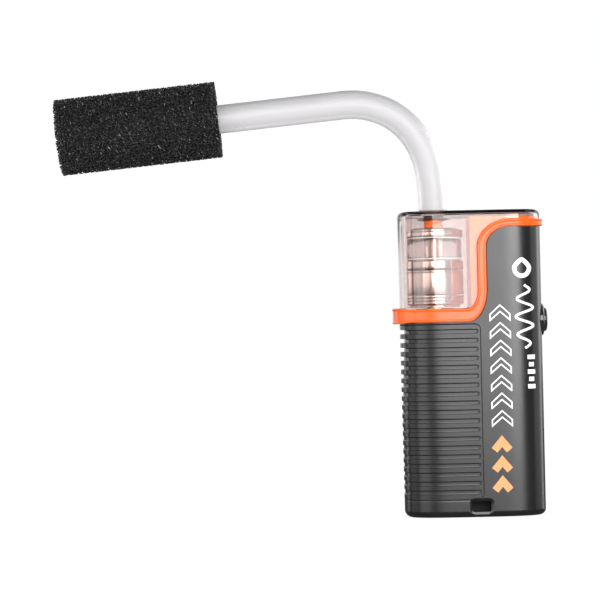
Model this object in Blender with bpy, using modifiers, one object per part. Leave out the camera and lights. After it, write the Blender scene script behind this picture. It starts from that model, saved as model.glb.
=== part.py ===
"""Hand-held fog machine: ribbed housing, S-shaped band, clear tank cover, atomizer, hose and diffuser.

Frame: origin at the middle of the base, +Z up, -Y towards the front face, +X towards the button side.
"""
import math

import bmesh
import bpy
from mathutils import Matrix, Vector

MM = 0.001

# Fits
GAP = 0.3 * MM
REACH = 40.0 * MM

# Housing: one rounded-rectangle section for shells, band and cover
BODY_HALF_X = 28.25 * MM
BODY_HALF_Y = 14.0 * MM
BODY_HEIGHT = 121.5 * MM
CORNER_RADIUS = 13.0 * MM
CORNER_STEPS = 6
EDGE_FILLET = 2.4 * MM
WALL = 2.0 * MM
BASE_THICKNESS = 2.2 * MM

# Band: two level runs joined by an upright one, as heights and places of its centre line
BAND_LOW_Z = 80.0 * MM
BAND_HIGH_Z = 116.2 * MM
BAND_UPRIGHT_X = 4.05 * MM
BAND_LOW_HALF = 2.6 * MM
BAND_HIGH_HALF = 1.4 * MM
BAND_UPRIGHT_HALF = 1.7 * MM
BAND_LOW_BEND_X = -1.8 * MM
BAND_LOW_BEND_Z = 90.0 * MM
BAND_HIGH_BEND_X = 15.4 * MM
BAND_HIGH_BEND_Z = 106.7 * MM
BAND_BEND_STEPS = 6
BAND_PROUD = 0.5 * MM
BAND_LEFT_X = -31.3 * MM
BAND_RIGHT_X = 29.3 * MM
DECK_HALF = 1.0 * MM
SHOULDER_X = -0.3 * MM
SHOULDER_Z = 119.0 * MM
DECK_HOLE_RADIUS = 4.8 * MM

# Grip grooves, from the band down
GROOVE_COUNT = 19
GROOVE_PITCH = 3.53 * MM
GROOVE_HEIGHT = 1.8 * MM
GROOVE_TOP_Z = 74.5 * MM
GROOVE_RIGHT_X = 1.9 * MM
GROOVE_DEPTH = 0.6 * MM
GROOVE_END_DEPTH = 1.15 * MM

# Lanyard slot: in through the front wall and out through the base
SLOT_X = 1.9 * MM
SLOT_WIDTH = 7.6 * MM
SLOT_BOTTOM_Z = BASE_THICKNESS
SLOT_TOP_Z = 6.6 * MM
SLOT_BASE_FRONT_Y = -11.9 * MM
SLOT_BASE_REAR_Y = -7.4 * MM
POCKET_WALL = 1.2 * MM

# Case screws: x and z of each, driven from the rear
SCREW_PLACES = (
    (-15.0 * MM, 14.0 * MM), (-15.0 * MM, 66.6 * MM), (14.0 * MM, 5.3 * MM), (13.0 * MM, 106.0 * MM),
)
SCREW_STEPS = 12
FRONT_BOSS_RADIUS = 2.6 * MM
REAR_BOSS_RADIUS = 3.0 * MM
SCREW_RADIUS = 0.95 * MM
SCREW_HEAD_RADIUS = 1.8 * MM
SCREW_HEAD_LOW_Y = 7.6 * MM
SCREW_HEAD_HIGH_Y = 9.2 * MM
SCREW_TIP_Y = -8.0 * MM

# Atomizer, on its own axis
TANK_X = -14.1 * MM
TANK_RADIUS = 11.6 * MM
TANK_STEPS = 24

# Push button, on an axis along X
BUTTON_Z = 77.5 * MM
BUTTON_RADIUS = 4.8 * MM
BUTTON_TIP_X = 30.5 * MM
BEZEL_RADIUS = 6.5 * MM
BEZEL_TIP_X = 29.1 * MM
BEZEL_INNER_RADIUS = 5.1 * MM
BEZEL_ROOT_X = 26.6 * MM
BUTTON_HOLE_LOW_X = 22.0 * MM

# Battery and electronics
CELL_X = 8.5 * MM
CELL_RADIUS = 9.25 * MM
CELL_LOW_Z = 10.0 * MM
CELL_HIGH_Z = 75.0 * MM
BOARD_X = 19.4 * MM
BOARD_THICKNESS = 1.2 * MM
USB_RIGHT_X = 24.1 * MM
USB_HALF_Y = 4.5 * MM
USB_CORNER = 1.3 * MM
USB_WALL = 0.4 * MM
USB_LOW_Z = 0.5 * MM
USB_HIGH_Z = 7.8 * MM
SWITCH_HALF = 3.0 * MM
SWITCH_RIGHT_X = 23.2 * MM
LEAD_RADIUS = 0.6 * MM

# Tank cover and the stub pressed through its top
STUB_HOLE_RADIUS = 4.4 * MM

# Hose: outer and inner radius, route of its bend, then a straight run
HOSE_RADIUS = 5.7 * MM
HOSE_BORE_RADIUS = 4.4 * MM
HOSE_SIDES = 12
HOSE_START_Z = 121.8 * MM
HOSE_ROUTE = (
    (-14.1, 121.8), (-14.1, 126.0), (-14.5, 132.6), (-15.8, 140.8), (-18.8, 148.8), (-23.5, 155.5),
    (-29.6, 160.5), (-36.0, 163.4), (-42.1, 164.8), (-47.5, 165.0), (-52.5, 164.6),
)
HOSE_SLOPE = math.radians(5.3)
HOSE_STRAIGHT = 76.8 * MM
HOSE_STRAIGHT_STEP = 25.6 * MM

# Diffuser: a cylinder of open foam, bored to push over the end of the hose
FOAM_RADIUS = 15.2 * MM
FOAM_LENGTH = 64.4 * MM
FOAM_BORE_DEPTH = 30.4 * MM
FOAM_STEPS = 24


def clear_scene():
    for obj in list(bpy.data.objects):
        bpy.data.objects.remove(obj, do_unlink=True)


def new_collection(name):
    made = bpy.data.collections.new(name)
    bpy.context.scene.collection.children.link(made)
    return made


def material(name, colour, roughness, metallic=0.0, alpha=1.0):
    made = bpy.data.materials.new(name)
    made.use_nodes = True
    shader = made.node_tree.nodes["Principled BSDF"]
    shader.inputs["Base Color"].default_value = (*colour, 1.0)
    shader.inputs["Roughness"].default_value = roughness
    shader.inputs["Metallic"].default_value = metallic
    shader.inputs["Alpha"].default_value = alpha
    made.diffuse_color = (*colour, alpha)
    return made


# ---- Making solids ----

def mesh_of(obj):
    """The evaluated mesh of a curve or a mesh, welded, with flat faces joined and normals out."""
    bpy.context.view_layer.update()
    evaluated = obj.evaluated_get(bpy.context.evaluated_depsgraph_get())
    mesh = bpy.data.meshes.new_from_object(evaluated)
    work = bmesh.new()
    work.from_mesh(mesh)
    bmesh.ops.remove_doubles(work, verts=work.verts, dist=1e-6)
    bmesh.ops.dissolve_limit(work, angle_limit=math.radians(0.5), verts=work.verts, edges=work.edges)
    bmesh.ops.recalc_face_normals(work, faces=work.faces)
    work.to_mesh(mesh)
    work.free()
    return mesh


def curve_to_mesh(obj, matrix):
    """Replaces a curve object with the mesh it makes, moved by a matrix."""
    mesh = mesh_of(obj)
    mesh.transform(matrix)
    name = obj.name
    curve = obj.data
    bpy.data.objects.remove(obj, do_unlink=True)
    bpy.data.curves.remove(curve)
    made = bpy.data.objects.new(name, mesh)
    parts.objects.link(made)
    return made


def outline_solid(name, points, low, high, plane="XY"):
    """A closed flat outline, filled and extruded from low to high across its plane."""
    curve = bpy.data.curves.new(name, "CURVE")
    curve.dimensions = "2D"
    curve.fill_mode = "BOTH"
    curve.extrude = (high - low) / 2
    spline = curve.splines.new("POLY")
    spline.points.add(len(points) - 1)
    for point, (across, along) in zip(spline.points, points):
        point.co = (across, along, 0.0, 1.0)
    spline.use_cyclic_u = True
    obj = bpy.data.objects.new(name, curve)
    parts.objects.link(obj)
    middle = (low + high) / 2
    if plane == "XY":
        matrix = Matrix.Translation((0.0, 0.0, middle))
    elif plane == "XZ":
        matrix = Matrix.Translation((0.0, middle, 0.0)) @ Matrix.Rotation(math.pi / 2, 4, "X")
    else:
        turn = Matrix.Rotation(math.pi / 2, 4, "Z") @ Matrix.Rotation(math.pi / 2, 4, "X")
        matrix = Matrix.Translation((middle, 0.0, 0.0)) @ turn
    return curve_to_mesh(obj, matrix)


def block(name, low, high):
    """A rectangular block between two corners."""
    low = Vector(low)
    high = Vector(high)
    work = bmesh.new()
    matrix = Matrix.Translation((low + high) / 2) @ Matrix.Diagonal((*(high - low), 1.0))
    bmesh.ops.create_cube(work, size=1.0, matrix=matrix)
    mesh = bpy.data.meshes.new(name)
    work.to_mesh(mesh)
    work.free()
    made = bpy.data.objects.new(name, mesh)
    parts.objects.link(made)
    return made


def turned(name, profile, place=(0.0, 0.0, 0.0), along="Z", steps=TANK_STEPS, closed=False):
    """A profile of (radius, height) points turned about an axis by a Screw modifier."""
    points = [(radius, 0.0, height) for radius, height in profile]
    edges = [(index, index + 1) for index in range(len(points) - 1)]
    if closed:
        edges.append((len(points) - 1, 0))
    mesh = bpy.data.meshes.new(name)
    mesh.from_pydata(points, edges, [])
    made = bpy.data.objects.new(name, mesh)
    parts.objects.link(made)
    made.location = place
    if along == "X":
        made.rotation_euler = (0.0, math.pi / 2, 0.0)
    elif along == "Y":
        made.rotation_euler = (-math.pi / 2, 0.0, 0.0)
    screw = made.modifiers.new("turn", "SCREW")
    screw.axis = "Z"
    screw.steps = steps
    screw.render_steps = steps
    screw.use_merge_vertices = True
    screw.merge_threshold = 0.00001
    screw.use_smooth_shade = True
    return made


def disc(name, radius, low, high, place=(0.0, 0.0, 0.0), along="Z", steps=TANK_STEPS):
    """A plain round solid, from one height to another along its axis."""
    profile = ((0.0, high), (radius, high), (radius, low), (0.0, low))
    return turned(name, profile, place, along, steps)


def ring(name, outer, inner, low, high, place=(0.0, 0.0, 0.0), along="Z", steps=TANK_STEPS):
    """A plain round tube with square ends."""
    profile = ((outer, high), (outer, low), (inner, low), (inner, high))
    return turned(name, profile, place, along, steps, closed=True)


def as_cutter(obj):
    """Moves a helper out of the object's own collection and hides it from renders."""
    parts.objects.unlink(obj)
    cutters.objects.link(obj)
    obj.hide_render = True
    obj.display_type = "WIRE"
    return obj


def boolean(obj, operation, helpers):
    for helper in helpers:
        modifier = obj.modifiers.new(helper.name, "BOOLEAN")
        modifier.operation = operation
        modifier.solver = "EXACT"
        modifier.object = helper


def cut(obj, *helpers):
    boolean(obj, "DIFFERENCE", helpers)


def keep_within(obj, *helpers):
    boolean(obj, "INTERSECT", helpers)


def join(obj, *helpers):
    boolean(obj, "UNION", helpers)


def smooth_corner_points(points, steps):
    """Points of one smooth curve through the given ones (Catmull-Rom), with some between each pair."""
    places = [Vector(point) for point in points]
    first = places[0] * 2 - places[1]
    last = places[-1] * 2 - places[-2]
    row = [first, *places, last]
    found = []
    for index in range(1, len(row) - 2):
        before, here, there, after = row[index - 1:index + 3]
        for step in range(steps):
            t = step / steps
            found.append(0.5 * (
                2 * here + (there - before) * t
                + (2 * before - 5 * here + 4 * there - after) * t ** 2
                + (3 * here - before - 3 * there + after) * t ** 3
            ))
    found.append(places[-1])
    return found


def tube(name, points, radius, sides):
    """A round tube with closed ends along a row of points, as a mesh."""
    curve = bpy.data.curves.new(name, "CURVE")
    curve.dimensions = "3D"
    curve.bevel_depth = radius
    curve.bevel_resolution = sides // 2 - 2
    curve.use_fill_caps = True
    spline = curve.splines.new("POLY")
    spline.points.add(len(points) - 1)
    for point, place in zip(spline.points, points):
        point.co = (*place, 1.0)
    obj = bpy.data.objects.new(name, curve)
    parts.objects.link(obj)
    return curve_to_mesh(obj, Matrix.Identity(4))


# ---- Outlines ----

def rounded_outline(x_low, x_high, half_y, radius):
    """A rounded rectangle seen from above."""
    points = []
    corners = ((x_high, half_y, 0), (x_low, half_y, 90), (x_low, -half_y, 180), (x_high, -half_y, 270))
    for corner_x, corner_y, start in corners:
        centre_x = corner_x - math.copysign(radius, corner_x - (x_low + x_high) / 2)
        centre_y = corner_y - math.copysign(radius, corner_y)
        for step in range(CORNER_STEPS + 1):
            angle = math.radians(start + 90 * step / CORNER_STEPS)
            points.append((centre_x + radius * math.cos(angle), centre_y + radius * math.sin(angle)))
    return points


def body_outline(inset):
    """The housing's section, drawn in by a distance."""
    half_x = BODY_HALF_X - inset
    return rounded_outline(-half_x, half_x, BODY_HALF_Y - inset, CORNER_RADIUS - inset)


def band_edge(side, extra):
    """The band's edge in the XZ plane, moved out by extra: side -1 is the shell's edge, +1 the cover's."""
    low_z = BAND_LOW_Z + side * (BAND_LOW_HALF + extra)
    high_z = BAND_HIGH_Z + side * (BAND_HIGH_HALF + extra)
    return s_curve(low_z, BAND_UPRIGHT_X - side * (BAND_UPRIGHT_HALF + extra), high_z)


def s_curve(low_z, upright_x, high_z):
    """A level line, a quarter turn up, a quarter turn back to level, and a level line."""
    points = [(-REACH, low_z)]
    for step in range(BAND_BEND_STEPS + 1):
        angle = math.pi / 2 * step / BAND_BEND_STEPS
        across = BAND_LOW_BEND_X + (upright_x - BAND_LOW_BEND_X) * math.sin(angle)
        points.append((across, BAND_LOW_BEND_Z - (BAND_LOW_BEND_Z - low_z) * math.cos(angle)))
    for step in range(BAND_BEND_STEPS + 1):
        angle = math.pi / 2 * step / BAND_BEND_STEPS
        across = BAND_HIGH_BEND_X - (BAND_HIGH_BEND_X - upright_x) * math.cos(angle)
        points.append((across, BAND_HIGH_BEND_Z + (high_z - BAND_HIGH_BEND_Z) * math.sin(angle)))
    points.append((REACH, high_z))
    return points


def between_edges(lower, upper):
    return lower + upper[::-1]


def below_band():
    return band_edge(-1, GAP) + [(REACH, -REACH), (-REACH, -REACH)]


def above_band():
    return band_edge(1, GAP) + [(REACH, BODY_HEIGHT + REACH), (-REACH, BODY_HEIGHT + REACH)]


# ---- Sub-parts ----

def body_block(name):
    """The whole outer form of the housing and cover, with rounded upper and lower edges."""
    made = outline_solid(name, body_outline(0.0), 0.0, BODY_HEIGHT)
    bevel = made.modifiers.new("edge_fillet", "BEVEL")
    bevel.width = EDGE_FILLET
    bevel.segments = 3
    bevel.limit_method = "ANGLE"
    bevel.angle_limit = math.radians(60)
    return made


def cavity(name, low_z, high_z, inset=WALL):
    return as_cutter(outline_solid(name, body_outline(inset), low_z, high_z))


def grip_grooves():
    """One cutter for all the grooves, which wrap from the front face round the left end to the rear."""
    outer = rounded_outline(
        -BODY_HALF_X - WALL, BODY_HALF_X + WALL, BODY_HALF_Y + WALL, CORNER_RADIUS + WALL
    )
    low_z = GROOVE_TOP_Z - GROOVE_COUNT * GROOVE_PITCH
    made = as_cutter(outline_solid("groove_ring", outer, low_z, GROOVE_TOP_Z + WALL))
    floor = rounded_outline(
        -BODY_HALF_X + GROOVE_END_DEPTH, BODY_HALF_X - GROOVE_DEPTH,
        BODY_HALF_Y - GROOVE_DEPTH, CORNER_RADIUS - GROOVE_DEPTH,
    )
    core = as_cutter(outline_solid("groove_floor", floor, low_z - WALL, GROOVE_TOP_Z + 2 * WALL))
    work = bmesh.new()
    for index in range(GROOVE_COUNT):
        high = GROOVE_TOP_Z - index * GROOVE_PITCH
        left = -BODY_HALF_X - 2 * WALL
        middle = Vector(((left + GROOVE_RIGHT_X) / 2, 0.0, high - GROOVE_HEIGHT / 2))
        size = (GROOVE_RIGHT_X - left, 2 * REACH, GROOVE_HEIGHT, 1.0)
        bmesh.ops.create_cube(work, size=1.0, matrix=Matrix.Translation(middle) @ Matrix.Diagonal(size))
    mesh = bpy.data.meshes.new("groove_comb")
    work.to_mesh(mesh)
    work.free()
    comb = bpy.data.objects.new("groove_comb", mesh)
    parts.objects.link(comb)
    as_cutter(comb)
    cut(made, core)
    keep_within(made, comb)
    return made


def lanyard_slot():
    """An L seen from the side: in through the front wall, then down and out through the base."""
    outline = (
        (-REACH, SLOT_BOTTOM_Z), (SLOT_BASE_FRONT_Y, SLOT_BOTTOM_Z), (SLOT_BASE_FRONT_Y, -REACH),
        (SLOT_BASE_REAR_Y, -REACH), (SLOT_BASE_REAR_Y, SLOT_TOP_Z), (-REACH, SLOT_TOP_Z),
    )
    half = SLOT_WIDTH / 2
    return as_cutter(outline_solid("lanyard_slot", outline, SLOT_X - half, SLOT_X + half, "YZ"))


def lanyard_pocket():
    """Walls inside the front shell that close the slot off from the electronics."""
    half = SLOT_WIDTH / 2 + POCKET_WALL
    low = (SLOT_X - half, -BODY_HALF_Y + WALL / 2, WALL / 2)
    high = (SLOT_X + half, SLOT_BASE_REAR_Y + POCKET_WALL, SLOT_TOP_Z + POCKET_WALL)
    return as_cutter(block("lanyard_pocket", low, high))


def button_hole():
    place = (0.0, 0.0, BUTTON_Z)
    return as_cutter(disc("button_hole", BEZEL_RADIUS + GAP, BUTTON_HOLE_LOW_X, REACH, place, "X"))


def usb_hole():
    low_x = BOARD_X + BOARD_THICKNESS
    outline = rounded_outline(low_x, USB_RIGHT_X + GAP, USB_HALF_Y + GAP, USB_CORNER + GAP)
    return as_cutter(outline_solid("usb_hole", outline, -REACH, 2 * BASE_THICKNESS))


def screw_hole(index, place):
    """A pilot hole that widens into the counterbore for the screw's head."""
    bore = SCREW_HEAD_RADIUS + GAP
    pilot = SCREW_RADIUS + GAP
    step_y = SCREW_HEAD_LOW_Y - GAP
    end_y = SCREW_TIP_Y - MM
    profile = ((0.0, REACH), (bore, REACH), (bore, step_y), (pilot, step_y), (pilot, end_y), (0.0, end_y))
    return turned(f"screw_hole_{index}", profile, place, "Y", SCREW_STEPS)


def housing_shells():
    """Front and rear halves, which meet on the middle plane, with bosses for the case screws."""
    plastic = material("housing_plastic", (0.022, 0.022, 0.024), 0.38)
    grooves = grip_grooves()
    hollow = cavity("shell_cavity", BASE_THICKNESS, BODY_HEIGHT + REACH)
    hole_for_button = button_hole()
    hole_for_usb = usb_hole()
    shells = []
    for name, y_low, y_high in (
        ("front_shell", -REACH, -GAP / 2), ("rear_shell", GAP / 2, REACH)
    ):
        shell = body_block(name)
        region = as_cutter(outline_solid(name + "_region", below_band(), y_low, y_high, "XZ"))
        keep_within(shell, region)
        cut(shell, hollow)
        shells.append(shell)
    front, rear = shells
    boss_wall_y = BODY_HALF_Y - WALL / 2
    for index, (x, z) in enumerate(SCREW_PLACES, 1):
        place = (x, 0.0, z)
        front_boss = disc(
            f"front_boss_{index}", FRONT_BOSS_RADIUS, -boss_wall_y, -GAP / 2, place, "Y", SCREW_STEPS
        )
        rear_boss = disc(
            f"rear_boss_{index}", REAR_BOSS_RADIUS, GAP / 2, boss_wall_y, place, "Y", SCREW_STEPS
        )
        join(front, as_cutter(front_boss))
        join(rear, as_cutter(rear_boss))
    join(front, lanyard_pocket())
    cut(front, lanyard_slot())
    for index, (x, z) in enumerate(SCREW_PLACES, 1):
        hole = as_cutter(screw_hole(index, (x, 0.0, z)))
        cut(front, hole)
        cut(rear, hole)
    for shell in shells:
        cut(shell, grooves, hole_for_button, hole_for_usb)
        shell.data.materials.append(plastic)
    return shells


def case_screws():
    steel = material("screw_steel", (0.45, 0.45, 0.46), 0.3, 1.0)
    screws = []
    for index, (x, z) in enumerate(SCREW_PLACES, 1):
        profile = (
            (0.0, SCREW_HEAD_HIGH_Y), (SCREW_HEAD_RADIUS, SCREW_HEAD_HIGH_Y),
            (SCREW_HEAD_RADIUS, SCREW_HEAD_LOW_Y), (SCREW_RADIUS, SCREW_HEAD_LOW_Y),
            (SCREW_RADIUS, SCREW_TIP_Y), (0.0, SCREW_TIP_Y),
        )
        screw = turned(f"case_screw_{index}", profile, (x, 0.0, z), "Y", SCREW_STEPS)
        screw.data.materials.append(steel)
        screws.append(screw)
    return screws


def seal_band():
    """The orange band, a ring between the shells and the cover that stands a little proud of both."""
    orange = material("band_orange", (0.9, 0.16, 0.02), 0.4)
    made = outline_solid(
        "seal_band", between_edges(band_edge(-1, 0.0), band_edge(1, 0.0)), -REACH, REACH, "XZ"
    )
    outer = rounded_outline(BAND_LEFT_X, BAND_RIGHT_X, BODY_HALF_Y + BAND_PROUD, CORNER_RADIUS + BAND_PROUD)
    keep_within(made, as_cutter(outline_solid("band_outer", outer, -REACH, BODY_HEIGHT + REACH)))
    cut(made, cavity("band_inner", -2 * REACH, BODY_HEIGHT + 2 * REACH))
    made.data.materials.append(orange)
    return made


def tank_deck():
    """The floor of the tank bay, which rises beside the tank in a shoulder that fills the cover's corner."""
    plastic = material("deck_plastic", (0.9, 0.16, 0.02), 0.4)
    lower = s_curve(BAND_LOW_Z - DECK_HALF, BAND_UPRIGHT_X + DECK_HALF, BAND_HIGH_Z - DECK_HALF)
    floor_z = BAND_LOW_Z + DECK_HALF
    upper = [(-REACH, floor_z), (SHOULDER_X, floor_z), (SHOULDER_X, SHOULDER_Z), (REACH, SHOULDER_Z)]
    made = outline_solid("tank_deck", between_edges(lower, upper), -REACH, REACH, "XZ")
    keep_within(made, cavity("deck_edge", -REACH, BODY_HEIGHT + REACH, WALL + GAP))
    low_z = BAND_LOW_Z - CORNER_RADIUS
    hole = disc("deck_hole", DECK_HOLE_RADIUS, low_z, BAND_LOW_BEND_Z, (TANK_X, 0.0, 0.0))
    cut(made, as_cutter(hole))
    made.data.materials.append(plastic)
    return made


def atomizer_socket():
    brass = material("socket_brass", (0.72, 0.53, 0.24), 0.3, 1.0)
    white = material("socket_insulation", (0.8, 0.8, 0.78), 0.5)
    place = (TANK_X, 0.0, 0.0)
    socket = turned("thread_socket", (
        (7.6 * MM, 82.8 * MM), (7.6 * MM, 81.3 * MM), (4.5 * MM, 81.3 * MM), (4.5 * MM, 76.8 * MM),
        (2.6 * MM, 76.8 * MM), (2.6 * MM, 78.0 * MM), (3.75 * MM, 78.0 * MM), (3.75 * MM, 82.8 * MM),
    ), place, closed=True)
    socket.data.materials.append(brass)
    insulator = turned("socket_insulator", (
        (3.3 * MM, 79.1 * MM), (3.3 * MM, 78.3 * MM), (2.3 * MM, 78.3 * MM), (2.3 * MM, 76.8 * MM),
        (1.4 * MM, 76.8 * MM), (1.4 * MM, 79.1 * MM),
    ), place, steps=16, closed=True)
    insulator.data.materials.append(white)
    pin = disc("centre_pin", 1.1 * MM, 75.0 * MM, 79.6 * MM, place, steps=12)
    pin.data.materials.append(brass)
    return [socket, insulator, pin]


def atomizer():
    """Base, sleeve, heater, chimney, mid ring, reservoir and its gaskets, all on one axis."""
    steel = material("atomizer_steel", (0.62, 0.6, 0.58), 0.16, 1.0)
    glass = material("reservoir_clear", (0.9, 0.9, 0.9), 0.05, alpha=0.35)
    silicone = material("gasket_silicone", (0.75, 0.73, 0.7), 0.5)
    place = (TANK_X, 0.0, 0.0)
    base = turned("atomizer_base", (
        (0.0, 88.0 * MM), (TANK_RADIUS, 88.0 * MM), (TANK_RADIUS, 84.6 * MM), (10.2 * MM, 84.2 * MM),
        (10.2 * MM, 83.1 * MM), (3.4 * MM, 83.1 * MM), (3.4 * MM, 79.9 * MM), (0.0, 79.9 * MM),
    ), place)
    sleeve = ring("atomizer_sleeve", TANK_RADIUS, 10.05 * MM, 88.3 * MM, 98.0 * MM, place)
    heater = ring("heater_head", 6.5 * MM, 1.6 * MM, 88.3 * MM, 98.0 * MM, place)
    mid_ring = ring("atomizer_mid_ring", TANK_RADIUS, 8.0 * MM, 98.3 * MM, 102.1 * MM, place)
    chimney = ring("chimney", 2.2 * MM, 1.6 * MM, 98.3 * MM, 111.3 * MM, place, steps=16)
    for piece in (base, sleeve, heater, mid_ring, chimney):
        piece.data.materials.append(steel)
    reservoir = ring("reservoir_glass", 11.1 * MM, 9.7 * MM, 103.2 * MM, 110.5 * MM, place)
    reservoir.data.materials.append(glass)
    lower = ring("glass_seal_lower", 10.9 * MM, 9.0 * MM, 102.4 * MM, 102.9 * MM, place)
    upper = ring("glass_seal_upper", 10.9 * MM, 9.0 * MM, 110.8 * MM, 111.3 * MM, place)
    for piece in (lower, upper):
        piece.data.materials.append(silicone)
    return [base, sleeve, heater, mid_ring, chimney, reservoir, lower, upper]


def fill_cap():
    """The atomizer's top cap, which unscrews for filling, and the seal on its mouth."""
    steel = material("cap_steel", (0.62, 0.6, 0.58), 0.16, 1.0)
    orange = material("seal_orange", (0.9, 0.2, 0.03), 0.45)
    place = (TANK_X, 0.0, 0.0)
    cap = turned("atomizer_top_cap", (
        (2.9 * MM, 117.0 * MM), (2.9 * MM, 114.9 * MM), (10.3 * MM, 114.9 * MM), (TANK_RADIUS, 114.2 * MM),
        (TANK_RADIUS, 111.6 * MM), (1.6 * MM, 111.6 * MM), (1.6 * MM, 117.0 * MM),
    ), place, closed=True)
    cap.data.materials.append(steel)
    seal = ring("outlet_seal", 3.8 * MM, 3.2 * MM, 115.2 * MM, 118.4 * MM, place, steps=20)
    seal.data.materials.append(orange)
    return [cap, seal]


def cover_and_spigot():
    """The tinted clear cover, which lifts off, and the stub that the hose pushes over."""
    tinted = material("cover_tint", (0.75, 0.6, 0.57), 0.06, alpha=0.4)
    dark = material("spigot_plastic", (0.12, 0.08, 0.06), 0.35)
    cover = body_block("tank_cover")
    region = as_cutter(outline_solid("cover_region", above_band(), -REACH, REACH, "XZ"))
    keep_within(cover, region)
    cut(cover, cavity("cover_cavity", -REACH, BODY_HEIGHT - WALL))
    hole = disc(
        "spigot_hole", STUB_HOLE_RADIUS, BODY_HEIGHT - 2 * WALL, BODY_HEIGHT + WALL, (TANK_X, 0.0, 0.0)
    )
    cut(cover, as_cutter(hole))
    cover.data.materials.append(tinted)
    spigot = turned("outlet_spigot", (
        (3.2 * MM, 130.0 * MM), (3.9 * MM, 127.4 * MM), (3.2 * MM, 127.4 * MM), (3.2 * MM, 123.8 * MM),
        (4.1 * MM, 123.8 * MM), (4.1 * MM, 119.2 * MM), (6.4 * MM, 119.2 * MM), (6.4 * MM, 118.7 * MM),
        (2.3 * MM, 118.7 * MM), (2.3 * MM, 130.0 * MM),
    ), (TANK_X, 0.0, 0.0), steps=20, closed=True)
    spigot.data.materials.append(dark)
    return [cover, spigot]


def hose_points(step_count, overrun=0.0):
    """The hose's centre line: a smooth bend through its route, then a straight, gently falling run."""
    bend = smooth_corner_points([(x * MM, 0.0, z * MM) for x, z in HOSE_ROUTE], step_count)
    way = hose_direction()
    points = bend[:]
    runs = round(HOSE_STRAIGHT / HOSE_STRAIGHT_STEP)
    for index in range(1, runs + 1):
        points.append(bend[-1] + way * HOSE_STRAIGHT_STEP * index)
    points[0] = points[0] - Vector((0.0, 0.0, overrun))
    points[-1] = points[-1] + way * overrun
    return points


def hose_direction():
    return Vector((-math.cos(HOSE_SLOPE), 0.0, -math.sin(HOSE_SLOPE)))


def hose():
    silicone = material("hose_silicone", (0.8, 0.79, 0.79), 0.35, alpha=0.8)
    made = tube("hose", hose_points(2), HOSE_RADIUS, HOSE_SIDES)
    bore = as_cutter(tube("hose_bore", hose_points(2, 5.0 * MM), HOSE_BORE_RADIUS, HOSE_SIDES))
    cut(made, bore)
    made.data.materials.append(silicone)
    return made


def foam_start():
    """The middle of the diffuser's open end, on the hose's straight run."""
    end = hose_points(1)[-1]
    return end - hose_direction() * (FOAM_BORE_DEPTH - GAP)


def foam_diffuser():
    foam = material("diffuser_foam", (0.012, 0.012, 0.012), 0.9)
    bore_radius = HOSE_RADIUS + GAP
    made = turned("foam_diffuser", (
        (0.0, FOAM_LENGTH), (FOAM_RADIUS, FOAM_LENGTH), (FOAM_RADIUS, 0.0), (bore_radius, 0.0),
        (bore_radius, FOAM_BORE_DEPTH), (0.0, FOAM_BORE_DEPTH),
    ), foam_start(), steps=FOAM_STEPS)
    made.rotation_euler = (0.0, -math.pi / 2 - HOSE_SLOPE, 0.0)
    made.data.materials.append(foam)
    return made


def button():
    """The push button and the collar that frames it."""
    black = material("button_plastic", (0.015, 0.015, 0.016), 0.2)
    place = (0.0, 0.0, BUTTON_Z)
    bezel = turned("button_bezel", (
        (BEZEL_INNER_RADIUS, BEZEL_TIP_X), (6.0 * MM, BEZEL_TIP_X), (BEZEL_RADIUS, BEZEL_TIP_X - 0.5 * MM),
        (BEZEL_RADIUS, BEZEL_ROOT_X), (BEZEL_INNER_RADIUS, BEZEL_ROOT_X),
    ), place, "X", closed=True)
    cap = turned("fire_button", (
        (0.0, BUTTON_TIP_X), (3.2 * MM, BUTTON_TIP_X - 0.15 * MM), (4.3 * MM, BUTTON_TIP_X - 0.5 * MM),
        (BUTTON_RADIUS, BUTTON_TIP_X - 1.1 * MM), (BUTTON_RADIUS, 26.2 * MM), (5.8 * MM, 26.2 * MM),
        (5.8 * MM, 25.1 * MM), (1.5 * MM, 25.1 * MM), (1.5 * MM, 24.3 * MM), (0.0, 24.3 * MM),
    ), place, "X")
    for piece in (bezel, cap):
        piece.data.materials.append(black)
    return bezel, cap


def battery():
    """The cell, the open cradle that holds it from behind, and its end contacts."""
    wrap = material("cell_wrap", (0.05, 0.2, 0.45), 0.4)
    tray = material("cradle_plastic", (0.1, 0.1, 0.1), 0.5)
    nickel = material("contact_nickel", (0.6, 0.6, 0.58), 0.3, 1.0)
    place = (CELL_X, 0.0, 0.0)
    cell = turned("battery_cell", (
        (0.0, CELL_HIGH_Z), (3.0 * MM, CELL_HIGH_Z), (3.0 * MM, CELL_HIGH_Z - 0.8 * MM),
        (8.6 * MM, CELL_HIGH_Z - 0.8 * MM), (CELL_RADIUS, CELL_HIGH_Z - 1.4 * MM),
        (CELL_RADIUS, CELL_LOW_Z), (0.0, CELL_LOW_Z),
    ), place)
    cell.data.materials.append(wrap)
    cradle = ring("battery_cradle", CELL_RADIUS + 1.6 * MM, CELL_RADIUS + GAP, 13.0 * MM, 71.0 * MM, place)
    front = block("cradle_front", (-REACH, -REACH, 0.0), (REACH, 2.5 * MM, 80.0 * MM))
    cut(cradle, as_cutter(front))
    cradle.data.materials.append(tray)
    top = block("battery_contact_top", (4.5 * MM, -3.5 * MM, 75.3 * MM), (17.5 * MM, 3.5 * MM, 75.7 * MM))
    low = block("battery_contact_bottom", (2.5 * MM, -3.5 * MM, 9.2 * MM), (17.5 * MM, 3.5 * MM, 9.6 * MM))
    for piece in (top, low):
        piece.data.materials.append(nickel)
    return [cell, cradle, top, low]


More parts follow.
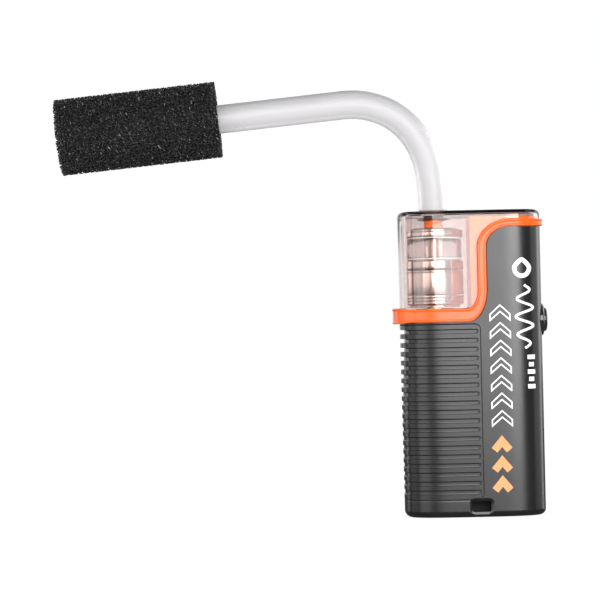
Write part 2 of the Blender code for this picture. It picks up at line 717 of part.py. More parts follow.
def electronics():
    green = material("board_green", (0.02, 0.14, 0.06), 0.4)
    tin = material("socket_tin", (0.6, 0.6, 0.6), 0.3, 1.0)
    black = material("switch_plastic", (0.05, 0.05, 0.05), 0.4)
    board_right = BOARD_X + BOARD_THICKNESS
    board = block("control_board", (BOARD_X, -8.0 * MM, 4.5 * MM), (board_right, 8.0 * MM, 98.0 * MM))
    board.data.materials.append(green)
    left = board_right + GAP
    outer = rounded_outline(left, USB_RIGHT_X, USB_HALF_Y, USB_CORNER)
    inner = rounded_outline(
        left + USB_WALL, USB_RIGHT_X - USB_WALL, USB_HALF_Y - USB_WALL, USB_CORNER - USB_WALL
    )
    usb = outline_solid("usb_socket", outer, USB_LOW_Z, USB_HIGH_Z)
    cut(usb, as_cutter(outline_solid("usb_mouth", inner, -REACH, USB_HIGH_Z - 1.0 * MM)))
    usb.data.materials.append(tin)
    switch = block(
        "tact_switch", (left, -SWITCH_HALF, BUTTON_Z - SWITCH_HALF),
        (SWITCH_RIGHT_X, SWITCH_HALF, BUTTON_Z + SWITCH_HALF),
    )
    switch.data.materials.append(black)
    return [board, usb, switch]


def leads():
    """Two leads from the board, over the cell, to the socket's pin and barrel."""
    routes = (
        ("positive_lead", (0.6, 0.03, 0.02), (
            (18.4, 3.0, 88.0), (15.5, 3.0, 86.5), (11.0, 3.0, 80.5), (3.0, 3.0, 77.2), (-4.0, 1.6, 76.4),
            (-9.0, 0.3, 75.7), (-12.6, 0.0, 75.7),
        )),
        ("negative_lead", (0.02, 0.02, 0.02), (
            (18.4, -3.0, 88.0), (15.5, -3.0, 86.5), (11.0, -3.0, 80.5), (3.0, -3.0, 77.4), (-4.0, -3.0, 77.4),
            (-10.1, -3.0, 77.6),
        )),
    )
    made = []
    for name, colour, route in routes:
        points = smooth_corner_points([(x * MM, y * MM, z * MM) for x, y, z in route], 2)
        lead = tube(name, points, LEAD_RADIUS, 8)
        lead.data.materials.append(material(name + "_sheath", colour, 0.45))
        made.append(lead)
    return made


def pivot(name, place, pieces, parent=None):
    """An empty on a joint's axis, with the pieces that move with it as its children."""
    empty = bpy.data.objects.new(name, None)
    empty.location = place
    parts.objects.link(empty)
    if parent is not None:
        empty.parent = parent
        empty.matrix_parent_inverse = Matrix.Translation(parent.location).inverted()
    for piece in pieces:
        piece.parent = empty
        piece.matrix_parent_inverse = Matrix.Translation(place).inverted()
    return empty


def shade(pieces):
    """Smooth shading that keeps real corners sharp."""
    for piece in pieces:
        piece.data.shade_smooth()
        if piece.data.polygons:
            piece.data.set_sharp_from_angle(angle=math.radians(35))


clear_scene()
parts = new_collection("fog_machine")
cutters = new_collection("cutters")

shells = housing_shells()
screws = case_screws()
band = seal_band()
deck = tank_deck()
socket_pieces = atomizer_socket()
tank_pieces = atomizer()
cap_pieces = fill_cap()
cover_pieces = cover_and_spigot()
hose_piece = hose()
foam_piece = foam_diffuser()
bezel_piece, button_piece = button()
battery_pieces = battery()
board_pieces = electronics()
lead_pieces = leads()

tank_axis = pivot("atomizer_axis", (TANK_X, 0.0, 83.0 * MM), tank_pieces)
pivot("fill_cap_axis", (TANK_X, 0.0, 111.5 * MM), cap_pieces, tank_axis)
cover_axis = pivot("cover_lift_axis", (0.0, 0.0, BODY_HEIGHT), cover_pieces)
hose_axis = pivot("hose_swivel_axis", (TANK_X, 0.0, HOSE_START_Z), [hose_piece], cover_axis)
pivot("foam_pull_axis", foam_start(), [foam_piece], hose_axis)
pivot("fire_button_axis", (BUTTON_TIP_X, 0.0, BUTTON_Z), [button_piece])

shade([
    *shells, *screws, band, deck, *socket_pieces, *tank_pieces, *cap_pieces, *cover_pieces, hose_piece,
    foam_piece, bezel_piece, button_piece, *battery_pieces, *board_pieces, *lead_pieces,
])
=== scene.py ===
"""Hand-held fog machine: the finished look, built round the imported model."""

import itertools
import math

import bmesh
import bpy
import numpy as np
from mathutils import Matrix, Vector


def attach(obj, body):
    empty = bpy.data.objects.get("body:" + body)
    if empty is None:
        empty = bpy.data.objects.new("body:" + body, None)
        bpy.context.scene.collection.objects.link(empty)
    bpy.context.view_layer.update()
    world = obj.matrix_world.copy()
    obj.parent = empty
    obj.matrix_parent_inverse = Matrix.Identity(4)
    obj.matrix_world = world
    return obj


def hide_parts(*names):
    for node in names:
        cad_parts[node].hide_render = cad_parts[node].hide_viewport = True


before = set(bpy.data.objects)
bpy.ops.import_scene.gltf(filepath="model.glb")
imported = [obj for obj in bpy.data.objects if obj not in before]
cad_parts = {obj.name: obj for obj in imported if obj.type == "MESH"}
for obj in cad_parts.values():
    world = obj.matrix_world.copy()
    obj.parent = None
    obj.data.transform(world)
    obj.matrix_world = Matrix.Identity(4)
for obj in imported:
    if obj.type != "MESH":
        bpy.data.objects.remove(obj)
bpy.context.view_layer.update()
MM = 0.001

# ---- Camera, floor and lights ----
# The camera looks straight at the broad front face from its own height. A big softbox stands a little to
# the right of it and others on the left, with a dark strip between them, before a white wall and floor.
def add_object(name, data):
    """A new object in the scene, round a mesh, a light or a camera."""
    made = bpy.data.objects.new(name, data)
    bpy.context.scene.collection.objects.link(made)
    return made


camera_data = bpy.data.cameras.new("camera")
camera_data.lens = 150.0
camera_data.sensor_width = 36.0
camera = add_object("camera", camera_data)
camera_roll = math.radians(1.3)
camera.location = (-68.0 * MM, -1.0, 87.4 * MM)
camera.rotation_euler = (math.pi / 2, camera_roll, 0.0)
bpy.context.scene.camera = camera
bpy.context.scene.view_settings.view_transform = "Standard"


def set_inputs(node, **values):
    """Sets a node's inputs by name, with _ for a space, and hands the node back."""
    for socket, value in values.items():
        node.inputs[socket.replace("_", " ")].default_value = value
    return node


def add_node(tree, kind, **values):
    """A new shader node of a kind, with some of its inputs set."""
    return set_inputs(tree.nodes.new("ShaderNode" + kind), **values)


def wire(tree, *joins):
    """Links sockets, each link given as (node, its output, node, its input)."""
    for source, output, target, socket in joins:
        tree.links.new(source.outputs[output], target.inputs[socket])


def stage_piece(name, points, faces, paint_tone, glow, in_gloss):
    """A pale matt surface that gives off its own light. in_gloss is how bright glossy reflections see it."""
    mesh = bpy.data.meshes.new(name)
    mesh.from_pydata(points, [], faces)
    mesh.shade_smooth()
    made = add_object(name, mesh)
    paint = bpy.data.materials.new(name + "_paint")
    paint.use_nodes = True
    tree = paint.node_tree
    shader = set_inputs(
        tree.nodes["Principled BSDF"], Base_Color=(paint_tone, paint_tone, paint_tone, 1.0), Roughness=1.0,
        Specular_IOR_Level=0.0, Emission_Color=(1.0, 1.0, 1.0, 1.0), Emission_Strength=glow,
    )
    reflected = add_node(tree, "Emission", Strength=in_gloss)
    path = add_node(tree, "LightPath")
    choose = add_node(tree, "MixShader")
    wire(
        tree, (path, "Is Glossy Ray", choose, "Fac"), (shader, "BSDF", choose, 1),
        (reflected, "Emission", choose, 2), (choose, "Shader", tree.nodes["Material Output"], "Surface"),
    )
    mesh.materials.append(paint)
    return made


floor_half = 4.0
floor_z = -0.0002
floor_corners = [(x * floor_half, y * floor_half, floor_z) for x, y in ((-1, -1), (1, -1), (1, 1), (-1, 1))]
floor = stage_piece("floor", floor_corners, [(0, 1, 2, 3)], 0.3, 0.86, 0.1)
floor.visible_glossy = False
floor.visible_shadow = False

wall_radius = 2.4
wall_steps = 24
wall_z = (-0.01, 1.6)


def wall(name, first_angle, last_angle, glow, in_gloss):
    """A round wall between two angles, in degrees from the right."""
    points = []
    for step in range(wall_steps + 1):
        angle = math.radians(first_angle + (last_angle - first_angle) * step / wall_steps)
        across = wall_radius * math.cos(angle)
        back = wall_radius * math.sin(angle)
        points += [(across, back, z) for z in wall_z]
    faces = [(2 * i, 2 * i + 2, 2 * i + 3, 2 * i + 1) for i in range(wall_steps)]
    return stage_piece(name, points, faces, 0.0, glow, in_gloss)


wall("wall", 12.0, 168.0, 1.02, 1.02)
front_wall = wall("front_wall", 168.0, 372.0, 1.0, 0.1)
front_wall.visible_diffuse = False
front_wall.visible_shadow = False

light_aim = Vector((0.0, 0.0, 0.09))
light_tall = 1.2
for name, azimuth, distance, height, width, radiance in (
    ("front_softbox", 11.5, 2.0, 0.5, 1.8, 6.6),
    ("front_strip", 27.0, 1.95, 0.5, 0.56, 4.5),
    ("left_softbox", -36.5, 2.0, 0.4, 0.96, 3.0),
    ("left_side_softbox", -74.0, 2.0, 0.4, 1.3, 1.3),
    ("right_softbox", 86.0, 2.0, 0.4, 1.4, 1.2),
    ("right_rear_softbox", 118.0, 1.8, 0.4, 0.7, 2.5),
    ("left_rear_softbox", -118.0, 1.8, 0.4, 0.7, 1.5),
):
    light = bpy.data.lights.new(name, "AREA")
    light.shape = "RECTANGLE"
    light.size = width
    light.size_y = light_tall
    light.energy = radiance * math.pi * width * light_tall
    softbox = add_object(name, light)
    angle = math.radians(azimuth)
    softbox.location = (distance * math.sin(angle), -distance * math.cos(angle), height)
    softbox.rotation_euler = (light_aim - softbox.location).to_track_quat("-Z", "Y").to_euler()
    softbox.visible_camera = False

world = bpy.data.worlds.new("room")
bpy.context.scene.world = world
world.use_nodes = True
room = world.node_tree
room_light = set_inputs(room.nodes["Background"], Color=(0.1, 0.1, 0.105, 1.0))
backdrop = add_node(room, "Background", Color=(1.0, 1.0, 1.0, 1.0))
seen = add_node(room, "LightPath")
room_mix = add_node(room, "MixShader")
wire(
    room, (seen, "Is Camera Ray", room_mix, "Fac"), (room_light, 0, room_mix, 1), (backdrop, 0, room_mix, 2),
    (room_mix, 0, room.nodes["World Output"], "Surface"),
)


# ---- Hose ----
# A length of milky silicone tube, 11 mm outside and 8.8 mm inside, heat-formed into its bend so that it
# holds the diffuser out on its own. Its square-cut foot pushes over the outlet stub on the cover.
def new_group(name, inputs, outputs):
    """A node group with named sockets, and its two end nodes. A tuple makes a colour socket."""
    group = bpy.data.node_groups.new(name, "ShaderNodeTree")
    for in_out, sockets in (("INPUT", inputs), ("OUTPUT", outputs)):
        for title, value in sockets.items():
            kind = "NodeSocketColor" if isinstance(value, tuple) else "NodeSocketFloat"
            group.interface.new_socket(title, in_out=in_out, socket_type=kind).default_value = value
    return group, group.nodes.new("NodeGroupInput"), group.nodes.new("NodeGroupOutput")


def make_tone_group():
    """Two close tones and two roughnesses, each drifting over the surface in soft patches."""
    grey = (0.5, 0.5, 0.5, 1.0)
    group, given, out = new_group(
        "drifting_tone", {"Tone": grey, "Shade": grey, "Patches": 60.0, "Smoothest": 0.3, "Roughest": 0.4},
        {"Colour": grey, "Roughness": 0.4},
    )
    place = add_node(group, "TexCoord")
    patches = add_node(group, "TexNoise", Detail=4.0)
    smears = add_node(group, "TexNoise", Detail=6.0, Roughness=0.65)
    finer = add_node(group, "Math")
    finer.operation = "MULTIPLY"
    finer.inputs[1].default_value = 2.7
    blend = add_node(group, "Mix")
    blend.data_type = "RGBA"
    spread = add_node(group, "MapRange", From_Min=0.3, From_Max=0.7)
    wire(
        group, (place, "Object", patches, "Vector"), (place, "Object", smears, "Vector"),
        (given, "Patches", patches, "Scale"), (given, "Patches", finer, 0), (finer, 0, smears, "Scale"),
        (patches, "Fac", blend, "Factor"), (given, "Tone", blend, "A"), (given, "Shade", blend, "B"),
        (smears, "Fac", spread, "Value"), (given, "Smoothest", spread, "To Min"),
        (given, "Roughest", spread, "To Max"), (blend, "Result", out, "Colour"),
        (spread, "Result", out, "Roughness"),
    )
    return group


def make_grain_group():
    """The height of a fine surface grain."""
    group, given, out = new_group("surface_grain", {"Grains": 2000.0, "Pits": 0.5}, {"Height": 0.0})
    place = add_node(group, "TexCoord")
    grain = add_node(group, "TexNoise", Detail=3.0)
    pits = add_node(group, "TexVoronoi")
    mix = add_node(group, "Mix")
    wire(
        group, (place, "Object", grain, "Vector"), (place, "Object", pits, "Vector"),
        (given, "Grains", grain, "Scale"), (given, "Grains", pits, "Scale"), (given, "Pits", mix, "Factor"),
        (grain, "Fac", mix, "A"), (pits, "Distance", mix, "B"), (mix, "Result", out, "Height"),
    )
    return group


drifting_tone = make_tone_group()
surface_grain = make_grain_group()


def finish(name, tone, shade, rough, grains, depth, patches=60.0, pits=0.3, **plain):
    """A material in two close tones with a fine grain. plain sets the shader's own sockets."""
    made = bpy.data.materials.new(name)
    made.use_nodes = True
    tree = made.node_tree
    shader = set_inputs(tree.nodes["Principled BSDF"], **plain)
    colour = add_node(tree, "Group")
    colour.node_tree = drifting_tone
    set_inputs(colour, Tone=(*tone, 1.0), Shade=(*shade, 1.0), Patches=patches)
    set_inputs(colour, Smoothest=rough[0], Roughest=rough[1])
    grain = add_node(tree, "Group")
    grain.node_tree = surface_grain
    set_inputs(grain, Grains=grains, Pits=pits)
    bump = add_node(tree, "Bump", Strength=1.0, Distance=depth)
    wire(
        tree, (colour, "Colour", shader, "Base Color"), (colour, "Roughness", shader, "Roughness"),
        (grain, "Height", bump, "Height"), (bump, "Normal", shader, "Normal"),
    )
    return made


def shade_body(made, corner):
    """Smooth shading that keeps corners above an angle sharp."""
    made.data.shade_smooth()
    made.data.set_sharp_from_angle(angle=math.radians(corner))


def piece(name, points, faces, material, corner=35.0):
    """A mesh object in one finish, made from its vertices and faces as they are."""
    mesh = bpy.data.meshes.new(name)
    mesh.from_pydata([tuple(point) for point in points], [], faces)
    mesh.validate()
    made = add_object(name, mesh)
    mesh.materials.append(material)
    shade_body(made, corner)
    return made


def place_piece(made, body, slot, *nodes):
    """Puts a finished piece on its body, in place of the CAD nodes it stands for."""
    bpy.context.view_layer.update()
    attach(made, body)
    if nodes:
        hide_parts(*nodes)


def ring_faces(rows, size, closed):
    """Faces between rings of points. Unless the last ring meets the first, both ends are capped."""
    faces = []
    for row in range(rows if closed else rows - 1):
        here = row * size
        there = (row + 1) % rows * size
        for column in range(size):
            turn = (column + 1) % size
            faces.append((here + column, here + turn, there + turn, there + column))
    if not closed:
        faces += [tuple(range(size)), tuple(range((rows - 1) * size, rows * size))]
    return faces


hose_radius = 5.7 * MM
hose_bore = 4.4 * MM
hose_slope = math.radians(5.3)
hose_way = Vector((-math.cos(hose_slope), 0.0, -math.sin(hose_slope)))
hose_knots = [Vector((x * MM, 0.0, z * MM)) for x, z in (
    (-14.1, 121.8), (-14.1, 126.0), (-14.5, 132.6), (-15.8, 140.8), (-18.8, 148.8), (-23.5, 155.5),
    (-29.6, 160.5), (-36.0, 163.4), (-42.1, 164.8), (-47.5, 165.0), (-52.5, 164.6),
)]
hose_straight = 76.8 * MM


def smooth_through(knots, steps):
    """Points of one smooth curve through the knots, with some between each pair."""
    row = [knots[0] * 2 - knots[1], *knots, knots[-1] * 2 - knots[-2]]
    found = []
    for before, here, there, after in zip(row, row[1:], row[2:], row[3:]):
        for step in range(steps):
            t = step / steps
            found.append(0.5 * (
                2 * here + (there - before) * t + (2 * before - 5 * here + 4 * there - after) * t ** 2
                + (3 * here - before - 3 * there + after) * t ** 3
            ))
    return found + [knots[-1]]


def hose_line(steps, straight_steps):
    """Points down the middle of the hose, from the cover to its end inside the diffuser."""
    bend = smooth_through(hose_knots, steps)
    run = [bend[-1] + hose_way * hose_straight * i / straight_steps for i in range(1, straight_steps + 1)]
    return bend + run


def wall_tube(points, outer, inner, sides):
    """Vertices and faces of a tube with a real wall along a flat route, with softly rounded ends."""
    lip = (outer - inner) / 2
    soft = lip * 0.45
    count = len(points)
    ways = [(points[min(i + 1, count - 1)] - points[max(i - 1, 0)]).normalized() for i in range(count)]
    loops = [(0, soft * 0.3, outer - soft * 0.3), (0, soft, outer)]
    loops += [(i, 0.0, outer) for i in range(1, count - 1)]
    loops += [(count - 1, -soft, outer), (count - 1, -soft * 0.3, outer - soft * 0.3)]
    loops += [(count - 1, 0.0, outer - soft), (count - 1, 0.0, inner + soft)]
    loops += [(count - 1, -soft * 0.3, inner + soft * 0.3), (count - 1, -soft, inner)]
    loops += [(i, 0.0, inner) for i in range(count - 2, 0, -1)]
    loops += [(0, soft, inner), (0, soft * 0.3, inner + soft * 0.3)]
    loops += [(0, 0.0, inner + soft), (0, 0.0, outer - soft)]
    side = Vector((0.0, 1.0, 0.0))
    vertices = []
    for index, along, radius in loops:
        way = ways[index]
        other = way.cross(side)
        middle = points[index] + way * along
        for step in range(sides):
            angle = 2 * math.pi * step / sides
            vertices.append(middle + side * radius * math.cos(angle) + other * radius * math.sin(angle))
    return vertices, [face[::-1] for face in ring_faces(len(loops), sides, True)]


hose_silicone = finish(
    "hose_silicone", (0.64, 0.63, 0.64), (0.62, 0.61, 0.62), (0.44, 0.48), 300.0, 0.0000005, 30.0, 0.0,
    IOR=1.41, Transmission_Weight=0.4,
)
hose_vertices, hose_faces = wall_tube(hose_line(6, 24), hose_radius, hose_bore, 64)
hose = piece("silicone_hose", hose_vertices, hose_faces, hose_silicone, 50.0)
place_piece(hose, "hose", "hose_silicone", "hose")

# ---- Diffuser ----
# A cylinder of black open-cell polyurethane foam, cut from a block and bored to push over the hose. Its
# skin is a net of thin struts between broken cells, over a core whose darker black is painted shade.
foam_radius = 15.2 * MM
foam_length = 64.4 * MM
foam_bore = 6.0 * MM
foam_bore_depth = 30.4 * MM
foam_skin = 2.5 * MM
foam_cell = 2.15 * MM
foam_jitter = 0.3 * MM
strut_radius = 0.19 * MM
core_depth = foam_skin * 0.8
core_shoulder = 1.0 * MM
core_lumps = 0.16 * MM
hose_end_gap = 0.3 * MM
foam_start = hose_line(1, 1)[-1] - hose_way * (foam_bore_depth - hose_end_gap)
foam_turn = hose_way.to_track_quat("Z", "Y").to_matrix()


def to_foam_place(points):
    """Points about the diffuser's own axis, moved to its place on the hose."""
    return points @ np.array(foam_turn).T + np.array(foam_start)


def cell_net():
    """Corners and edges of close-packed foam cells that fill the diffuser's box, pushed about a little."""
    wide = int(foam_radius / foam_cell) + 2
    high = int(foam_length / foam_cell) + 2
    corner_steps = np.array(sorted({
        step for one in (-1, 1) for two in (-2, 2) for step in itertools.permutations((0, one, two))
    }))
    pairs = [
        (i, j) for i in range(len(corner_steps)) for j in range(i)
        if np.sum((corner_steps[i] - corner_steps[j]) ** 2) == 2
    ]
    across = np.arange(-wide, wide + 1)
    along = np.arange(-1, high + 1)
    cells = np.array(np.meshgrid(across, across, along, indexing="ij")).reshape(3, -1).T * 4
    cells = np.concatenate([cells, cells + 2])
    corners = (cells[:, None, :] + corner_steps[None, :, :]).reshape(-1, 3)
    unique, index = np.unique(corners, axis=0, return_inverse=True)
    index = index.reshape(-1, len(corner_steps))
    edges = np.concatenate([index[:, [i, j]] for i, j in pairs])
    edges = np.unique(np.sort(edges, axis=1), axis=0)
    places = unique * (foam_cell / 4) + np.random.default_rng(11).normal(0.0, foam_jitter, unique.shape)
    return places, edges


def inside_foam(places):
    """How far each place is inside the diffuser's outer surface."""
    from_side = foam_radius - np.hypot(places[:, 0], places[:, 1])
    from_ends = np.minimum(places[:, 2], foam_length - places[:, 2])
    return np.minimum(from_side, from_ends)


def foam_struts():
    """Ends of each strut in the skin, cut off where it leaves the diffuser."""
    places, edges = cell_net()
    deep = inside_foam(places)
    one = edges[:, 0]
    two = edges[:, 1]
    clear = np.minimum(
        np.hypot(places[one, 0], places[one, 1]), np.hypot(places[two, 0], places[two, 1])
    ) > foam_bore + strut_radius
    kept = (np.maximum(deep[one], deep[two]) > 0.0) & (np.minimum(deep[one], deep[two]) < foam_skin) & clear
    one = one[kept]
    two = two[kept]
    swap = deep[one] < deep[two]
    inner = np.where(swap, two, one)
    outer = np.where(swap, one, two)
    share = np.ones(len(inner))
    cut = deep[outer] < 0.0
    share[cut] = deep[inner][cut] / (deep[inner][cut] - deep[outer][cut])
    start = places[inner]
    end = start + (places[outer] - start) * share[:, None]
    long_enough = np.linalg.norm(end - start, axis=1) > strut_radius
    return start[long_enough], end[long_enough]


def strut_mesh(name, start, end, material):
    """One object for many closed three-sided struts, from their two ends."""
    way = end - start
    way /= np.linalg.norm(way, axis=1)[:, None]
    other = np.cross(way, np.array((0.31, 0.87, 0.38)))
    other /= np.linalg.norm(other, axis=1)[:, None]
    third = np.cross(way, other)
    corners = []
    for place in (start, end):
        for step in range(3):
            angle = 2 * math.pi * step / 3
            corners.append(place + (other * math.cos(angle) + third * math.sin(angle)) * strut_radius)
    points = np.stack(corners, axis=1).reshape(-1, 3)
    sides = [(0, 1, 4, 3), (1, 2, 5, 4), (2, 0, 3, 5), (2, 1, 0), (3, 4, 5)]
    faces = [tuple(len(corners) * i + k for k in face) for i in range(len(start)) for face in sides]
    made = piece(name, to_foam_place(points), faces, material)
    made.data.shade_flat()
    return made


foam_black = finish(
    "foam_black", (0.012, 0.011, 0.0115), (0.02, 0.018, 0.019), (0.22, 0.4), 700.0, 0.00002, 300.0,
    Specular_IOR_Level=0.6,
)
# The core's darker, rougher black is painted shade: it stands for the depth of the foam, where little light
# gets in.
foam_painted_shade = finish(
    "foam_painted_shade", (0.004, 0.0038, 0.004), (0.009, 0.0085, 0.009), (0.7, 0.95), 500.0, 0.0003, 400.0, 0.8,
)


def foam_core():
    """The depth of the foam: a lumpy cylinder with a blind bore, a skin's depth below the surface, in a
    darker finish that is painted shade.
    """
    side = foam_radius - core_depth
    low = foam_bore + 0.2 * MM
    rows = 44
    top = foam_length - core_depth
    profile = [(0.0, top), (side - core_shoulder, top)]
    for row in range(rows + 1):
        profile.append((side, top - core_shoulder - (top - core_depth - 2.0 * core_shoulder) * row / rows))
    profile += [(side - core_shoulder, core_depth), (low, core_depth)]
    return profile + [(low, foam_bore_depth), (0.0, foam_bore_depth)]


def turned_mesh(profile, steps, closed):
    """Vertices and faces of a profile of (radius, height) points turned about Z."""
    points = []
    rows = []
    for radius, height in profile:
        ring = 1 if radius == 0.0 else steps
        rows.append([len(points) + i for i in range(ring)])
        for i in range(ring):
            angle = 2 * math.pi * i / steps
            points.append((radius * math.cos(angle), radius * math.sin(angle), height))
    faces = []
    for here, there in zip(rows, rows[1:] + rows[:1] if closed else rows[1:]):
        for i in range(steps):
            j = (i + 1) % steps
            corners = [
                here[i % len(here)], here[j % len(here)], there[j % len(there)], there[i % len(there)]
            ]
            corners = list(dict.fromkeys(corners))
            if len(corners) > 2:
                faces.append(tuple(corners))
    return points, faces


core_points, core_faces = turned_mesh(foam_core(), 72, False)
core_points = np.array(core_points)
core_noise = np.random.default_rng(5).normal(0.0, core_lumps, core_points.shape)
core_noise[np.hypot(core_points[:, 0], core_points[:, 1]) < foam_bore + core_shoulder] = 0.0
foam = piece("foam_core", to_foam_place(core_points + core_noise), core_faces, foam_painted_shade)
strut_starts, strut_ends = foam_struts()
strut_order = np.argsort((strut_starts + strut_ends)[:, 2], kind="stable")
foam_pieces = [foam]
foam_parts = ("open_end", "middle", "closed_end")
for part, chosen in zip(foam_parts, np.array_split(strut_order, len(foam_parts))):
    name = "foam_struts_" + part
    foam_pieces.append(strut_mesh(name, strut_starts[chosen], strut_ends[chosen], foam_black))
place_piece(foam, "diffuser", "diffuser_foam", "foam_diffuser")
for struts in foam_pieces[1:]:
    place_piece(struts, "diffuser", "diffuser_foam")

# ---- Housing shells ----
# Two moulded halves in fine-textured black ABS that meet on the middle plane and are screwed together
# from behind. Rounded grooves in a low panel give the left half of the grip its hold.
half_x = 28.25 * MM
half_y = 14.0 * MM
section_power = 3.2
body_height = 121.5 * MM
edge_fillet = 2.4 * MM
shell_wall = 2.0 * MM
shell_gap = 0.3 * MM
seam = 0.15 * MM
reach = 60.0 * MM
left_draft = 0.0142


def signed_power(value, power):
    """A power that keeps the value's sign."""
    return np.sign(value) * np.abs(value) ** power


turns = np.linspace(-math.pi, math.pi, 20001) - math.pi / 2
outline_x = half_x * signed_power(np.cos(turns), 2 / section_power)
outline_y = half_y * signed_power(np.sin(turns), 2 / section_power)
steps_along = np.hypot(np.diff(outline_x), np.diff(outline_y))
outline_s = np.concatenate([[0.0], np.cumsum(steps_along)])
outline_s -= outline_s[-1] / 2
slope_x = signed_power(outline_x / half_x, section_power - 1) / half_x
slope_y = signed_power(outline_y / half_y, section_power - 1) / half_y
slope_size = np.hypot(slope_x, slope_y)
quarter = outline_s[-1] / 2
front = np.abs(outline_s) <= quarter


def on_body(s, z, out):
    """Places at a distance s round the section from the front's middle, at a height and a distance out."""
    x = np.interp(s, outline_s, outline_x)
    x = np.where(x < 0, x * (1.0 + left_draft * (z / (0.5 * body_height) - 1.0)), x)
    y = np.interp(s, outline_s, outline_y)
    side_x = np.interp(s, outline_s, slope_x / slope_size)
    side_y = np.interp(s, outline_s, slope_y / slope_size)
    return np.stack([x + side_x * out, y + side_y * out, z + 0.0 * x], axis=-1)


def s_at(x):
    """Distance round the section to a place on the front face."""
    return np.interp(x, outline_x[front], outline_s[front])


band_low_z = 80.0 * MM
band_high_z = 116.2 * MM
band_upright_x = 4.05 * MM
band_low_half = 2.6 * MM
band_high_half = 1.4 * MM
band_upright_half = 1.7 * MM
low_bend = (-1.8 * MM, 90.0 * MM)
high_bend = (15.4 * MM, 106.7 * MM)


def bend_points(side, extra, steps):
    """The curved run of one edge of the band, as (x, z): side -1 is the shell's edge, +1 the cover's."""
    low_z = band_low_z + side * (band_low_half + extra)
    high_z = band_high_z + side * (band_high_half + extra)
    upright_x = band_upright_x - side * (band_upright_half + extra)
    angles = [math.pi / 2 * step / steps for step in range(steps + 1)]
    points = [(
        low_bend[0] + (upright_x - low_bend[0]) * math.sin(angle),
        low_bend[1] - (low_bend[1] - low_z) * math.cos(angle),
    ) for angle in angles]
    return points + [(
        high_bend[0] - (high_bend[0] - upright_x) * math.cos(angle),
        high_bend[1] + (high_z - high_bend[1]) * math.sin(angle),
    ) for angle in angles]


def band_edge(side, extra):
    """One edge of the band in full, run out past both sides of the body."""
    run = bend_points(side, extra, 20)
    return [(-reach, run[0][1]), *run, (reach, run[-1][1])]


def prism(name, outline, low, high, plane):
    """A closed outline in the XY or XZ plane extruded across it, as a hidden cutting body."""
    points = [
        (across, up, level) if plane == "XY" else (across, level, up)
        for level in (low, high) for across, up in outline
    ]
    return cutting_body(name, points, ring_faces(2, len(outline), False))


def cutting_body(name, points, faces):
    """A closed mesh object with its faces turned outwards, and no finish yet."""
    work = bmesh.new()
    corners = [work.verts.new(point) for point in points]
    for face in faces:
        work.faces.new([corners[i] for i in face])
    bmesh.ops.recalc_face_normals(work, faces=work.faces)
    mesh = bpy.data.meshes.new(name)
    work.to_mesh(mesh)
    work.free()
    return add_object(name, mesh)


def combine(body, operation, other):
    """Applies a Boolean to a body and removes the other body. Cut faces keep the other's own finish."""
    modifier = body.modifiers.new("combine", "BOOLEAN")
    modifier.operation = operation
    modifier.solver = "EXACT"
    modifier.material_mode = "TRANSFER"
    modifier.object = other
    bpy.context.view_layer.update()
    mesh = bpy.data.meshes.new_from_object(body.evaluated_get(bpy.context.evaluated_depsgraph_get()))
    body.modifiers.clear()
    old = body.data
    body.data = mesh
    bpy.data.meshes.remove(old)
    bpy.data.objects.remove(other, do_unlink=True)


def round_body(name, profile, place, along, steps, closed=False):
    """A profile of (radius, height) turned about its axis, which is then laid along X, Y or Z at a place."""
    points, faces = turned_mesh(profile, steps, closed)
    turn = {
        "X": Matrix.Rotation(math.pi / 2, 4, "Y"), "Y": Matrix.Rotation(-math.pi / 2, 4, "X"),
        "Z": Matrix.Identity(4),
    }[along]
    return cutting_body(name, [Matrix.Translation(place) @ turn @ Vector(point) for point in points], faces)


def section_outline(inset, steps):
    """The body's section, drawn in by an inset."""
    places = on_body(np.linspace(-2 * quarter, 2 * quarter, steps, endpoint=False), 0.0, -inset)
    return [(x, y) for x, y, _ in places]


groove_count = 19
groove_pitch = 3.53 * MM
groove_half = 0.9 * MM
groove_top_z = 74.5 * MM
groove_end_s = 1.9 * MM
groove_depth = 0.55 * MM
groove_end_low = 0.35 * MM
groove_end_high = 1.8 * MM
groove_end_x = -22.0 * MM
groove_end_run = 12.0 * MM
groove_deep_z = (38.0 * MM, 72.0 * MM)
groove_wall = 0.16 * MM
panel_right = 2.85 * MM
panel_low = 6.9 * MM
panel_high = 76.4 * MM
panel_corner = 2.3 * MM
panel_line = 0.17 * MM
panel_line_depth = 0.16 * MM
slot_middle = (1.9 * MM, 4.3 * MM)
slot_half = (3.8 * MM, 2.15 * MM)
slot_corner = 0.9 * MM
slot_rim = 0.95 * MM
slot_rim_depth = 0.5 * MM


def eased(value):
    """A soft step from 0 to 1."""
    value = np.clip(value, 0.0, 1.0)
    return value * value * (3.0 - 2.0 * value)


def past_rounded(across, up, half_across, half_up, corner):
    """Distance outside a rounded rectangle about the origin, negative inside."""
    a = np.abs(across) - half_across + corner
    b = np.abs(up) - half_up + corner
    return np.hypot(np.maximum(a, 0), np.maximum(b, 0)) + np.minimum(np.maximum(a, b), 0) - corner


